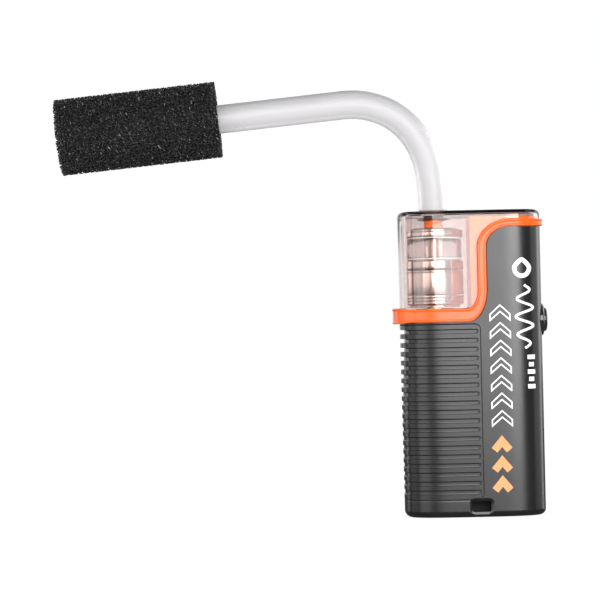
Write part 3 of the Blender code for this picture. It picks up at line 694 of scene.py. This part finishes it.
def shell_inset(s, z):
    """How far the shell's surface is cut in: grooves, the panel's outline and the slot's rim."""
    x_like = np.where(np.abs(s) > quarter, np.sign(s) * 2 * quarter - s, s)
    to_end = eased((s_at(groove_end_x) - x_like) / groove_end_run)
    climb = np.clip((z - groove_deep_z[0]) / (groove_deep_z[1] - groove_deep_z[0]), 0.0, 1.0) ** 1.3
    end_depth = groove_end_low + (groove_end_high - groove_end_low) * climb
    depth = groove_depth + to_end * (end_depth - groove_depth)
    row = np.clip(np.round((groove_top_z - groove_half - z) / groove_pitch), 0, groove_count - 1)
    from_axis = z - (groove_top_z - groove_half - row * groove_pitch)
    past_end = np.maximum(x_like - (groove_end_s - groove_half), 0.0)
    inside = groove_half - np.hypot(past_end, from_axis)
    cut = depth * eased(inside / groove_wall)
    panel_middle = (panel_low + panel_high) / 2
    panel_half = (panel_high - panel_low) / 2
    outline = np.abs(past_rounded(
        x_like - panel_right + 2 * quarter, z - panel_middle, 2 * quarter, panel_half, panel_corner
    ))
    line = panel_line_depth * eased(1.0 - outline / panel_line)
    rim = past_rounded(s - slot_middle[0], z - slot_middle[1], *slot_half, slot_corner)
    rim_cut = slot_rim_depth * np.clip(1.0 - rim / slot_rim, 0.0, 1.0)
    rim_cut = np.where(np.abs(s) > quarter, 0.0, rim_cut)
    return np.maximum(np.maximum(cut, line), rim_cut)


def fillet_inset(z, low, high):
    """How far the rounded lower and upper edges draw the section in."""
    from_low = np.clip((edge_fillet - (z - low)) / edge_fillet, 0.0, 1.0)
    from_high = np.clip((edge_fillet - (high - z)) / edge_fillet, 0.0, 1.0)
    from_end = np.maximum(from_low, from_high)
    return edge_fillet * (1.0 - np.sqrt(1.0 - from_end ** 2))


def spread_out(places, gap):
    """The places in order, without those closer than a gap to the one before."""
    places = np.unique(np.round(np.array(places), 6))
    return places[np.concatenate([[True], np.diff(places) > gap])]


def shell_rows():
    """Heights of the shell's mesh rows: close together at the grooves' walls, the rim and the base."""
    rows = [edge_fillet * (1.0 - math.cos(math.radians(angle))) for angle in range(0, 91, 10)]
    rows += list(np.arange(2.6, 8.6, 0.28) * MM)
    for index in range(groove_count):
        middle = groove_top_z - groove_half - index * groove_pitch
        for step in (0.0, 0.4, 0.7, 0.76, 0.81, 0.86, 0.91, 1.05):
            rows += [middle + step * MM, middle - step * MM]
    rows += list(panel_high + np.arange(-1.2, 0.7, 0.1) * MM)
    rows += list(np.arange(78.0, 119.0, 1.5) * MM)
    return spread_out(rows, 0.015 * MM)


def shell_columns(slot_too):
    """Distances round the front half: close together at the grooves' ends and the slot."""
    columns = [-quarter, quarter, *(np.arange(-38.0, 38.5, 0.9) * MM), *(np.arange(0.2, 3.5, 0.12) * MM)]
    if slot_too:
        columns += list(np.arange(-3.1, 7.0, 0.24) * MM)
    return spread_out([column for column in columns if abs(column) <= quarter], 0.03 * MM)


def shell_body(name, facing, material):
    """One closed half of the housing's outer form, before it is hollowed. facing is -1 in front."""
    rows = shell_rows()
    columns = shell_columns(facing < 0)
    s, z = np.meshgrid(columns, rows)
    around = s if facing < 0 else np.sign(s + 1e-12) * 2 * quarter - s
    out = -fillet_inset(z, 0.0, 10.0) - shell_inset(around, z)
    places = on_body(s, z, out)
    places[..., 1] = np.minimum(places[..., 1], -seam)
    places[..., 1] *= -facing
    count = len(columns)
    last = (len(rows) - 1) * count
    faces = [
        (first, first + 1, first + count + 1, first + count)
        for row in range(0, last, count) for first in range(row, row + count - 1)
    ]
    faces += [tuple(range(count - 1, -1, -1)), tuple(range(last, last + count))]
    faces.append((*range(count - 1, last + count, count), *range(last, -1, -count)))
    made = cutting_body(name, places.reshape(-1, 3), faces)
    made.data.materials.append(material)
    return made


screw_places = [(x * MM, z * MM) for x, z in ((-15.0, 14.0), (-15.0, 66.6), (14.0, 5.3), (13.0, 106.0))]
screw_bore = 2.1 * MM
screw_seat_y = 7.3 * MM
screw_pilot = 1.25 * MM
screw_pilot_y = 1.0 * MM
boss_radius = 3.0 * MM
boss_y = (2.0 * MM, 13.0 * MM)
bezel_hole = 6.8 * MM
bezel_hole_x = 22.0 * MM
button_z = 77.5 * MM
usb_middle_x = 22.5 * MM
usb_half = (1.9 * MM, 4.85 * MM)
usb_corner = 1.5 * MM
slot_base_y = (-11.9 * MM, -7.4 * MM)
slot_wall = 1.2 * MM
slot_wall_corner = 1.5 * MM
floor_top = 2.2 * MM


def rounded_rectangle(middle, half, corner, steps=6):
    """The outline of a rounded rectangle about a middle, from half its sides."""
    points = []
    for side_x, side_y, start in ((1, 1, 0), (-1, 1, 90), (-1, -1, 180), (1, -1, 270)):
        centre_x = middle[0] + side_x * (half[0] - corner)
        centre_y = middle[1] + side_y * (half[1] - corner)
        for step in range(steps + 1):
            angle = math.radians(start + 90 * step / steps)
            points.append((centre_x + corner * math.cos(angle), centre_y + corner * math.sin(angle)))
    return points


def shell_keep(facing):
    """The space that one half's walls may fill: below the band, outside the hollow, clear of every hole."""
    edge = band_edge(-1, shell_gap)
    region = prism("shell_region", edge + [(reach, -reach), (-reach, -reach)], -reach, 1.5 * reach, "XZ")
    hollow = prism("shell_hollow", section_outline(shell_wall, 96), floor_top, 3 * reach, "XY")
    combine(region, "DIFFERENCE", hollow)
    bezel_profile = [(0.0, reach), (bezel_hole, reach), (bezel_hole, bezel_hole_x), (0.0, bezel_hole_x)]
    usb_outline = rounded_rectangle((usb_middle_x, 0.0), usb_half, usb_corner)
    cuts = [
        round_body("bezel_hole", bezel_profile, (0.0, 0.0, button_z), "X", 48),
        prism("usb_hole", usb_outline, -reach, 5.0 * MM, "XY"),
    ]
    if facing > 0:
        low, high = boss_y
        boss = [(0.0, high), (boss_radius, high), (boss_radius, low), (0.0, low)]
        bore = [
            (0.0, reach), (screw_bore, reach), (screw_bore, screw_seat_y), (screw_pilot, screw_seat_y),
            (screw_pilot, screw_pilot_y), (0.0, screw_pilot_y),
        ]
        for x, z in screw_places:
            combine(region, "UNION", round_body("screw_boss", boss, (x, 0.0, z), "Y", 32))
            cuts.append(round_body("screw_bore", bore, (x, 0.0, z), "Y", 32))
    else:
        pocket_half = (slot_half[0] + slot_wall, slot_half[1] + slot_wall)
        pocket = rounded_rectangle(slot_middle, pocket_half, slot_wall_corner)
        combine(region, "UNION", prism("slot_pocket", pocket, -13.0 * MM, slot_base_y[1] + slot_wall, "XZ"))
        mouth = rounded_rectangle(slot_middle, slot_half, slot_corner)
        cuts.append(prism("slot_mouth", mouth, -reach, slot_base_y[1], "XZ"))
        exit_middle = (slot_middle[0], (slot_base_y[0] + slot_base_y[1]) / 2)
        exit_half = (slot_half[0] - 0.05 * MM, (slot_base_y[1] - slot_base_y[0]) / 2 - 0.02 * MM)
        slot_exit = rounded_rectangle(exit_middle, exit_half, slot_corner)
        cuts.append(prism("slot_exit", slot_exit, -reach, slot_middle[1], "XY"))
    for cutter in cuts:
        combine(region, "DIFFERENCE", cutter)
    return region


housing_black = finish(
    "housing_black", (0.0065, 0.0065, 0.0073), (0.009, 0.009, 0.0098), (0.21, 0.26), 2600.0, 0.000005, 30.0,
    Specular_IOR_Level=0.5,
)
# The cut faces inside the shells take a slightly darker, rougher and less glossy black: partly the moulding's
# plain inside, partly painted shade that keeps the slot's deep hollow dark.
housing_inside_and_painted_shade = finish(
    "housing_inside_and_painted_shade", (0.006, 0.006, 0.006), (0.009, 0.009, 0.009), (0.6, 0.75), 1800.0, 0.00002, 60.0,
    Specular_IOR_Level=0.15,
)
for name, facing, node in (("shell_front", -1, "front_shell"), ("shell_rear", 1, "rear_shell")):
    shell = shell_body(name, facing, housing_black)
    keep = shell_keep(facing)
    keep.data.materials.clear()
    keep.data.materials.append(housing_inside_and_painted_shade)
    combine(shell, "INTERSECT", keep)
    shade_body(shell, 38)
    place_piece(shell, "housing", "housing_plastic", node)

# ---- Case screws ----
# Four small steel screws with a domed head and a cross recess, driven from behind into the front half's
# bosses. Plated, in two close tones that drift over the metal.
screw_head = 1.8 * MM
screw_head_y = (7.6 * MM, 9.2 * MM)
screw_shaft = 0.95 * MM
screw_tip_y = -8.0 * MM
screw_steel = finish(
    "screw_steel", (0.42, 0.42, 0.44), (0.3, 0.3, 0.31), (0.22, 0.36), 3000.0, 0.00001, 900.0, Metallic=1.0,
)


def case_screw(index, x, z):
    """A screw turned on its axis: domed head, plain neck and a thread of small ridges."""
    low, high = screw_head_y
    profile = [(0.0, high), (0.9 * MM, high - 0.05 * MM), (1.45 * MM, high - 0.25 * MM)]
    profile += [(screw_head, high - 0.7 * MM), (screw_head, low), (screw_shaft, low)]
    depth = low - 1.0 * MM
    while depth > screw_tip_y + 1.2 * MM:
        profile += [(screw_shaft * 0.8, depth), (screw_shaft, depth - 0.35 * MM)]
        depth -= 0.7 * MM
    profile += [(screw_shaft * 0.7, depth), (0.0, screw_tip_y)]
    made = round_body(f"screw_{index}", profile, (x, 0.0, z), "Y", 32)
    arm = 1.1 * MM
    thin = 0.22 * MM
    for across, up in ((arm, thin), (thin, arm)):
        recess = [(x - across, z - up), (x + across, z - up), (x + across, z + up), (x - across, z + up)]
        combine(made, "DIFFERENCE", prism("recess", recess, high - 0.75 * MM, high + 1.0 * MM, "XZ"))
    made.data.materials.append(screw_steel)
    shade_body(made, 30)
    return made


for index, (x, z) in enumerate(screw_places, 1):
    place_piece(case_screw(index, x, z), "housing", "screw_steel", f"case_screw_{index}")

# ---- Seal band ----
# One soft orange TPU moulding that runs right round the body between the shells and the cover. It steps
# up the front and rear faces in an S, with a small raised lip on both edges and a squared stop at the left.
band_wall = 2.0 * MM
band_proud = 0.5 * MM
band_left_proud = 2.8 * MM
band_right_proud = 1.05 * MM
band_lip = 0.7 * MM
band_lip_step = 0.14 * MM
band_flare = 0.55 * MM
band_lap = 0.9 * MM
band_flange_high = 2.3 * MM
band_flange_low = 3.0 * MM
band_swell_x = 23.0 * MM
band_edge_round = 0.35 * MM
bend_steps = 18
climb_steps = 10
left_steps = 60
right_steps = 40
band_orange = finish(
    "band_orange", (0.76, 0.1, 0.004), (0.71, 0.09, 0.003), (0.2, 0.26), 1500.0, 0.000008, 40.0,
    Subsurface_Weight=0.06, Subsurface_Scale=0.002,
)


def band_stations(side):
    """Places (s, z) along one edge of the band, from the left end along the front to the right."""
    run = bend_points(side, 0.0, bend_steps)
    (low_x, low_z), (high_x, high_z) = run[bend_steps:bend_steps + 2]
    climb = [
        (low_x + (high_x - low_x) * i / climb_steps, low_z + (high_z - low_z) * i / climb_steps)
        for i in range(1, climb_steps)
    ]
    run = run[:bend_steps + 1] + climb + run[bend_steps + 1:]
    left = np.linspace(-quarter, s_at(low_bend[0]), left_steps)[:-1]
    right = np.linspace(s_at(high_bend[0]), quarter, right_steps)[1:]
    row = [(s, band_low_z + side * band_low_half) for s in left]
    row += [(float(s_at(x)), z) for x, z in run]
    return np.array(row + [(s, band_high_z + side * band_high_half) for s in right])


def band_rings():
    """One closed ring of the band's section at each station, as (station, ring, 3)."""
    lower = band_stations(-1)
    upper = band_stations(1)
    middle = (lower + upper) / 2
    half = (upper - lower) / 2
    width = np.linalg.norm(half, axis=1)
    x = np.interp(middle[:, 0], outline_s, outline_x)
    to_end = eased((np.abs(x) - band_swell_x) / (half_x - band_swell_x))
    end_proud = np.where(x < 0, band_left_proud, band_right_proud)
    proud = band_proud + (end_proud - band_proud) * to_end
    flare = np.where(x < 0, band_flare * to_end, 0.0)
    outer = [
        (0.0, 0.1 * MM, False), (0.0, None, True), (0.1 * MM, -0.1 * MM, True),
        (0.3 * MM, 0.0, True), (band_lip, 0.0, True), (band_lip + 0.15 * MM, -band_lip_step, True),
        (1.3 * MM, -band_lip_step, True),
    ]
    inner_at_shell = [
        (1.0 * MM, -band_flange_low, False), (-band_lap, -band_flange_low, False),
        (-band_lap, -band_flange_high, False), (0.0, -band_flange_high, False),
    ]
    inner_at_cover = [(0.0, -band_wall, False)]
    rings = []
    for side, inner in ((-1, inner_at_shell), (1, inner_at_cover)):
        rows = []
        for from_edge, height, flared in inner + outer:
            level = proud - band_edge_round if height is None else (proud + height if flared else height)
            level = np.broadcast_to(level, proud.shape)
            edge = from_edge - (flare if flared else 0.0)
            share = side * (1.0 - edge / width)
            spot = middle + half * share[:, None]
            rows.append(on_body(spot[:, 0], spot[:, 1], level))
        rings += rows if side < 0 else rows[::-1]
    return np.stack(rings, axis=1)


front_rings = band_rings()
rear_rings = front_rings[1:-1][::-1] * np.array((1.0, -1.0, 1.0))
band_loop = np.concatenate([front_rings, rear_rings])
band_loop[[0, len(front_rings) - 1], :, 1] = 0.0
band_faces = ring_faces(*band_loop.shape[:2], True)
band = piece("orange_band", band_loop.reshape(-1, 3), band_faces, band_orange, 50.0)
place_piece(band, "housing", "band_orange", "seal_band")

# ---- Atomizer ----
# A nickel-plated brass tank screwed into the socket: grooved base, sleeve round the heater, a mid ring,
# and a short glass reservoir between two silicone gaskets with the chimney through its middle.
tank_place = (-14.1 * MM, 0.0, 0.0)


def softened(profile, size, closed):
    """The profile with each corner rounded off by a small size."""
    points = [Vector(point) for point in profile]
    count = len(points)
    found = []
    for index, here in enumerate(points):
        if not closed and index in (0, count - 1):
            found.append(tuple(here))
            continue
        before = points[index - 1]
        after = points[(index + 1) % count]
        cut = min(size, (before - here).length * 0.45, (after - here).length * 0.45)
        start = here + (before - here).normalized() * cut
        end = here + (after - here).normalized() * cut
        for t in (0.0, 0.33, 0.67, 1.0):
            found.append(tuple(start * (1 - t) ** 2 + here * 2 * t * (1 - t) + end * t ** 2))
    return found


def turned_piece(
    name, profile, material, body, slot, node, closed=True, soft=0.18, place=tank_place, along="Z", steps=96,
):
    """A piece turned on its axis, from (radius, height) in millimetres, with softened corners."""
    profile = softened([(radius * MM, height * MM) for radius, height in profile], soft * MM, closed)
    made = round_body(name, profile, place, along, steps, closed)
    made.data.materials.append(material)
    shade_body(made, 40)
    place_piece(made, body, slot, node)


tank_nickel = finish(
    "tank_nickel", (0.78, 0.71, 0.65), (0.73, 0.66, 0.6), (0.16, 0.26), 2000.0, 0.000004, 80.0, Metallic=1.0,
)
tank_glass = finish(
    "tank_glass", (0.97, 0.96, 0.95), (0.95, 0.94, 0.93), (0.01, 0.03), 300.0, 0.000002, 20.0,
    IOR=1.47, Transmission_Weight=1.0,
)
gasket_silicone = finish(
    "gasket_silicone", (0.72, 0.7, 0.66), (0.66, 0.64, 0.6), (0.4, 0.5), 1500.0, 0.00001, 60.0,
)


def ridges(low, high, outer, inner, pitch):
    """A run of rounded ridges down a turned profile, as (radius, height)."""
    found = []
    height = high
    while height - pitch >= low - 1e-6:
        found += [(outer, height), (outer, height - pitch * 0.5), (inner, height - pitch * 0.6),
                  (inner, height - pitch * 0.9)]
        height -= pitch
    return found


base_profile = [(0.0, 88.0), (11.6, 88.0), (11.6, 87.1), (11.3, 86.95), (11.3, 86.7), (11.6, 86.55),
                (11.6, 85.9), (11.3, 85.75), (11.3, 85.5), (11.6, 85.35), (11.6, 84.6), (10.2, 84.2),
                (10.2, 83.1), (3.4, 83.1)]
base_profile += ridges(80.3, 82.7, 3.4, 3.1, 0.6)
base_profile += [(3.4, 80.2), (3.0, 79.9), (0.0, 79.9)]
sleeve_profile = [(11.6, 98.0), (11.6, 97.4), (11.4, 97.3), (11.4, 97.1), (11.6, 97.0), (11.6, 88.3),
                  (10.05, 88.3), (10.05, 98.0)]
ring_profile = [(11.6, 101.7), (11.6, 98.7), (10.9, 98.3), (8.0, 98.3), (8.0, 102.1), (10.9, 102.1)]
chimney_profile = [(2.2, 111.3), (2.2, 104.6), (1.95, 104.4), (1.95, 103.9), (2.2, 103.7), (2.2, 98.3),
                   (1.6, 98.3), (1.6, 111.3)]
for name, profile, node, closed, steps in (
    ("tank_base", base_profile, "atomizer_base", False, 96),
    ("tank_sleeve", sleeve_profile, "atomizer_sleeve", True, 96),
    ("heater", [(6.5, 98.0), (6.5, 88.3), (1.6, 88.3), (1.6, 98.0)], "heater_head", True, 96),
    ("tank_mid_ring", ring_profile, "atomizer_mid_ring", True, 96),
    ("chimney_tube", chimney_profile, "chimney", True, 48),
):
    turned_piece(name, profile, tank_nickel, "atomizer", "atomizer_steel", node, closed, steps=steps)
turned_piece(
    "reservoir", [(11.1, 110.5), (11.1, 103.2), (9.7, 103.2), (9.7, 110.5)], tank_glass,
    "atomizer", "reservoir_clear", "reservoir_glass", soft=0.25,
)
for level, low in (("low", 102.4), ("high", 110.8)):
    profile = [(10.9, low + 0.5), (10.9, low), (9.0, low), (9.0, low + 0.5)]
    node = "glass_seal_lower" if level == "low" else "glass_seal_upper"
    turned_piece("gasket_" + level, profile, gasket_silicone, "atomizer", "gasket_silicone", node)

# ---- Fill cap ----
# The plated top cap, which unscrews so the tank can be filled, and the orange silicone seal pushed over
# its mouth, which the outlet stub presses on when the cover is down.
turned_piece("fill_cap", [
    (2.9, 117.0), (2.9, 115.3), (3.3, 114.9), (10.3, 114.9), (11.6, 114.2), (11.6, 113.6), (11.35, 113.5),
    (11.35, 113.3), (11.6, 113.2), (11.6, 111.6), (1.6, 111.6), (1.6, 117.0),
], tank_nickel, "fill_cap", "atomizer_steel", "atomizer_top_cap")
seal_orange = finish(
    "seal_orange", (0.85, 0.17, 0.012), (0.78, 0.14, 0.01), (0.34, 0.42), 1500.0, 0.00001, 60.0,
    Subsurface_Weight=0.1, Subsurface_Scale=0.002,
)
turned_piece("mouth_seal", [
    (3.6, 118.4), (3.8, 118.1), (3.8, 117.5), (3.6, 117.3), (3.6, 117.0), (3.8, 116.8), (3.8, 115.5),
    (3.6, 115.2), (3.2, 115.2), (3.2, 118.4),
], seal_orange, "fill_cap", "seal_orange", "outlet_seal", soft=0.12)

# ---- Tank cover and outlet stub ----
# The cover is one clear moulding in smoke-rose acrylic with a 1.5 mm wall, so the tank shows through. The
# dark outlet stub is pressed through its top, with a flange inside and a barb for the hose outside.
cover_top = 120.0 * MM
cover_wall = 1.5 * MM
stub_hole = 4.4 * MM
cover_rows = [70.0 * MM, *(np.arange(76.0, 119.0, 1.0) * MM)]
cover_rows += [body_height - edge_fillet * (1.0 - math.cos(math.radians(a))) for a in range(90, -1, -9)]
cover_sides = 240
cover_columns = np.linspace(-2 * quarter, 2 * quarter, cover_sides, endpoint=False)
cover_s, cover_z = np.meshgrid(cover_columns, np.array(cover_rows))
cover_places = on_body(cover_s, cover_z, -fillet_inset(cover_z, -10.0, body_height))
cover_clear = finish(
    "cover_clear", (0.73, 0.63, 0.615), (0.72, 0.62, 0.605), (0.02, 0.04), 60.0, 0.000004, 14.0,
    IOR=1.3, Transmission_Weight=1.0, Coat_Weight=0.4, Coat_Roughness=0.03, Coat_IOR=1.6,
)
cover_faces = ring_faces(len(cover_rows), cover_sides, False)
cover = cutting_body("clear_cover", cover_places.reshape(-1, 3), cover_faces)
cover.data.materials.append(cover_clear)
cover_keep = prism(
    "cover_region", band_edge(1, shell_gap) + [(reach, 4 * reach), (-reach, 4 * reach)], -reach, reach, "XZ"
)
hollow_levels = [
    (60.0 * MM, cover_wall), (cover_top - 1.2 * MM, cover_wall),
    (cover_top - 0.5 * MM, cover_wall + 0.25 * MM), (cover_top - 0.15 * MM, cover_wall + 0.7 * MM),
    (cover_top, cover_wall + 1.2 * MM),
]
hollow_points = [
    (x, y, level) for level, inset in hollow_levels for x, y in section_outline(inset, cover_sides)
]
cover_hollow = cutting_body("cover_hollow", hollow_points, ring_faces(len(hollow_levels), cover_sides, False))
stub_cut = round_body(
    "stub_hole", [(0.0, 2 * reach), (stub_hole, 2 * reach), (stub_hole, 0.1), (0.0, 0.1)], tank_place, "Z", 64
)
combine(cover, "INTERSECT", cover_keep)
combine(cover, "DIFFERENCE", cover_hollow)
combine(cover, "DIFFERENCE", stub_cut)
shade_body(cover, 30)
cover.visible_shadow = False  # so that light reaches the tank through the clear wall
place_piece(cover, "cover", "cover_tint", "tank_cover")

stub_brown = finish(
    "stub_brown", (0.05, 0.028, 0.018), (0.04, 0.022, 0.015), (0.24, 0.32), 1500.0, 0.000006, 60.0,
)
turned_piece("outlet_stub", [
    (3.0, 130.0), (3.25, 129.7), (3.9, 127.6), (3.9, 127.4), (3.2, 127.2), (3.2, 123.8), (4.1, 123.8),
    (4.1, 119.2), (6.4, 119.2), (6.4, 118.7), (2.3, 118.7), (2.3, 130.0),
], stub_brown, "cover", "spigot_plastic", "outlet_spigot", soft=0.12)

# ---- Fire button ----
# A glossy black push button with a shallow dish, in a black collar that clips into the right edge of the
# shells. The collar is all in the button's polished finish.
button_gloss = finish(
    "button_gloss", (0.012, 0.012, 0.013), (0.016, 0.016, 0.017), (0.1, 0.18), 2000.0, 0.000004, 60.0,
    Coat_Weight=0.4, Coat_Roughness=0.05,
)
button_place = (0.0, 0.0, button_z)
turned_piece("push_button", [
    (0.0, 30.2), (1.6, 30.24), (2.8, 30.4), (3.6, 30.5), (4.3, 30.3), (4.8, 29.6), (4.8, 26.2), (5.8, 26.2),
    (5.8, 25.1), (1.5, 25.1), (1.5, 24.3), (0.0, 24.3),
], button_gloss, "button", "button_plastic", "fire_button", False, 0.25, button_place, "X", 72)
turned_piece("button_collar", [
    (5.1, 28.9), (5.4, 29.1), (5.9, 29.1), (6.5, 28.5), (6.5, 26.6), (5.1, 26.6),
], button_gloss, "housing", "button_plastic", "button_bezel", True, 0.15, button_place, "X", 72)

# ---- Printed marks ----
# Two screen-printed inks on the front shell: orange chevrons that turn into white outlined ones up the
# body, and on the right a white wave with a drop above it and a row of short dashes below.
ink_rise = 0.05 * MM
ink_root = 0.06 * MM
ink_plain = ((0.45, 0.55), 2500.0, 0.000008, 200.0)
white_ink = finish("white_ink", (0.86, 0.86, 0.85), (0.8, 0.8, 0.79), *ink_plain)
orange_ink = finish("orange_ink", (0.88, 0.3, 0.1), (0.82, 0.26, 0.085), *ink_plain)


def even_steps(points, closed, step):
    """The same route with points no further apart than a step."""
    found = []
    ends = points + points[:1] if closed else points
    for (x0, z0), (x1, z1) in zip(ends, ends[1:]):
        count = max(1, math.ceil(math.hypot(x1 - x0, z1 - z0) / step))
        found += [(x0 + (x1 - x0) * i / count, z0 + (z1 - z0) * i / count) for i in range(count)]
    return found if closed else found + [points[-1]]


def ink_line(points, width, closed, across=2):
    """Vertices and faces of a thin raised line of ink on the front, along (x, z) in millimetres."""
    route = np.array(even_steps([(x * MM, z * MM) for x, z in points], closed, 0.6 * MM))
    count = len(route)
    before = np.roll(route, 1, axis=0)
    after = np.roll(route, -1, axis=0)
    if not closed:
        before[0] = route[0] * 2 - route[1]
        after[-1] = route[-1] * 2 - route[-2]
    into = (route - before) / np.linalg.norm(route - before, axis=1)[:, None]
    away = (after - route) / np.linalg.norm(after - route, axis=1)[:, None]
    side = np.stack([-(into + away)[:, 1], (into + away)[:, 0]], axis=1)
    side /= np.linalg.norm(side, axis=1)[:, None]
    mitre = np.clip(np.sum(side * np.stack([-into[:, 1], into[:, 0]], axis=1), axis=1), 0.4, 1.0)
    loop = [(share, ink_rise) for share in np.linspace(-0.5, 0.5, across + 1)]
    loop += [(share, -ink_root) for share in np.linspace(0.5, -0.5, across + 1)]
    rings = []
    for share, rise in loop:
        spot = route + side * (share * width * MM / mitre)[:, None]
        rings.append(on_body(s_at(spot[:, 0]), spot[:, 1], rise))
    places = np.stack(rings, axis=1).reshape(-1, 3)
    return [tuple(place) for place in places], ring_faces(count, len(loop), closed)


def printed(name, lines, material):
    """One object for several lines of one ink."""
    points = []
    faces = []
    for line_points, line_faces in lines:
        start = len(points)
        points += line_points
        faces += [tuple(start + corner for corner in face) for face in line_faces]
    made = cutting_body(name, points, faces)
    made.data.materials.append(material)
    place_piece(made, "housing", "housing_plastic")


orange_low, orange_pitch = 10.6, 7.9
white_low, white_pitch = 36.0, 6.95
dash_low, dash_pitch = 50.4, 2.9
wave_x, wave_low, wave_tall = 20.6, 66.4, 25.0
drop_x, drop_z = 19.8, 98.2
chevron_lines = []
for index in range(3):
    low = orange_low + index * orange_pitch
    chevron_lines.append(ink_line([(7.4, low), (10.4, low + 3.6), (13.4, low)], 2.9, False, 4))
printed("orange_chevrons", chevron_lines, orange_ink)

outline_lines = []
for index in range(7):
    low = white_low + index * white_pitch
    outline_lines.append(ink_line([
        (6.8, low), (6.8, low + 2.3), (10.75, low + 5.9), (14.7, low + 2.3), (14.7, low), (10.75, low + 3.4),
    ], 0.5, True))
for index in range(5):
    low = dash_low + index * dash_pitch
    outline_lines.append(ink_line([(22.9, low), (22.9, low + 1.7)], 2.0 if index % 2 else 3.0, False))
wave = []
for step in range(61):
    share = step / 60
    swing = 1.2 + 2.4 * math.sin(math.pi * share) ** 0.6
    wave.append((wave_x + swing * math.sin(share * math.pi * 7.0), wave_low + wave_tall * share))
outline_lines.append(ink_line(wave, 0.95, False))
drop = []
for step in range(48):
    angle = 2 * math.pi * step / 48
    lift = math.sin(angle)
    squeeze = 1.0 - 0.55 * max(lift, 0.0) ** 1.5
    drop.append((drop_x + 3.0 * math.cos(angle) * squeeze, drop_z + 3.2 * lift))
outline_lines.append(ink_line(drop, 1.7, True, 3))
printed("white_marks", outline_lines, white_ink)

# ---- Inside the housing ----
# The pieces that show only through the openings or with the cover off keep their own shapes: the deck,
# the brass socket, the cell in its cradle, the board with its switch and charging socket, and the leads.
for finish_name, node_names, tone, shade, rough, grains, depth, patches, plain in (
    ("deck_orange", ("tank_deck",),
     (0.86, 0.15, 0.008), (0.82, 0.135, 0.007), (0.3, 0.38), 2000.0, 0.000008, 50.0, {}),
    ("socket_brass", ("thread_socket", "centre_pin"),
     (0.72, 0.5, 0.2), (0.62, 0.42, 0.16), (0.2, 0.34), 2500.0, 0.000006, 300.0, {"Metallic": 1.0}),
    ("socket_white", ("socket_insulator",),
     (0.8, 0.79, 0.75), (0.74, 0.73, 0.69), (0.45, 0.55), 2000.0, 0.000008, 200.0, {}),
    ("cell_wrap", ("battery_cell",),
     (0.02, 0.12, 0.36), (0.016, 0.1, 0.31), (0.2, 0.3), 900.0, 0.000008, 50.0, {"Coat_Weight": 0.3}),
    ("cradle_grey", ("battery_cradle",),
     (0.06, 0.06, 0.062), (0.075, 0.075, 0.077), (0.45, 0.55), 2200.0, 0.000012, 60.0, {}),
    ("contact_nickel", ("battery_contact_top", "battery_contact_bottom"),
     (0.66, 0.64, 0.58), (0.58, 0.56, 0.5), (0.18, 0.32), 2500.0, 0.000006, 300.0, {"Metallic": 1.0}),
    ("board_green", ("control_board",),
     (0.012, 0.1, 0.035), (0.016, 0.12, 0.045), (0.25, 0.36), 1200.0, 0.00001, 400.0, {"Coat_Weight": 0.3}),
    ("socket_tin", ("usb_socket",),
     (0.62, 0.62, 0.63), (0.54, 0.54, 0.55), (0.2, 0.34), 2500.0, 0.000006, 300.0, {"Metallic": 1.0}),
    ("switch_black", ("tact_switch",),
     (0.03, 0.03, 0.03), (0.04, 0.04, 0.04), (0.35, 0.45), 2200.0, 0.00001, 100.0, {}),
    ("lead_red", ("positive_lead",),
     (0.55, 0.02, 0.015), (0.48, 0.017, 0.012), (0.34, 0.44), 1800.0, 0.00001, 100.0, {}),
    ("lead_black", ("negative_lead",),
     (0.014, 0.014, 0.014), (0.02, 0.02, 0.02), (0.34, 0.44), 1800.0, 0.00001, 100.0, {}),
):
    inner_finish = finish(finish_name, tone, shade, rough, grains, depth, patches, **plain)
    for node_name in node_names:
        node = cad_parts[node_name]
        node.data.materials.clear()
        node.data.materials.append(inner_finish)
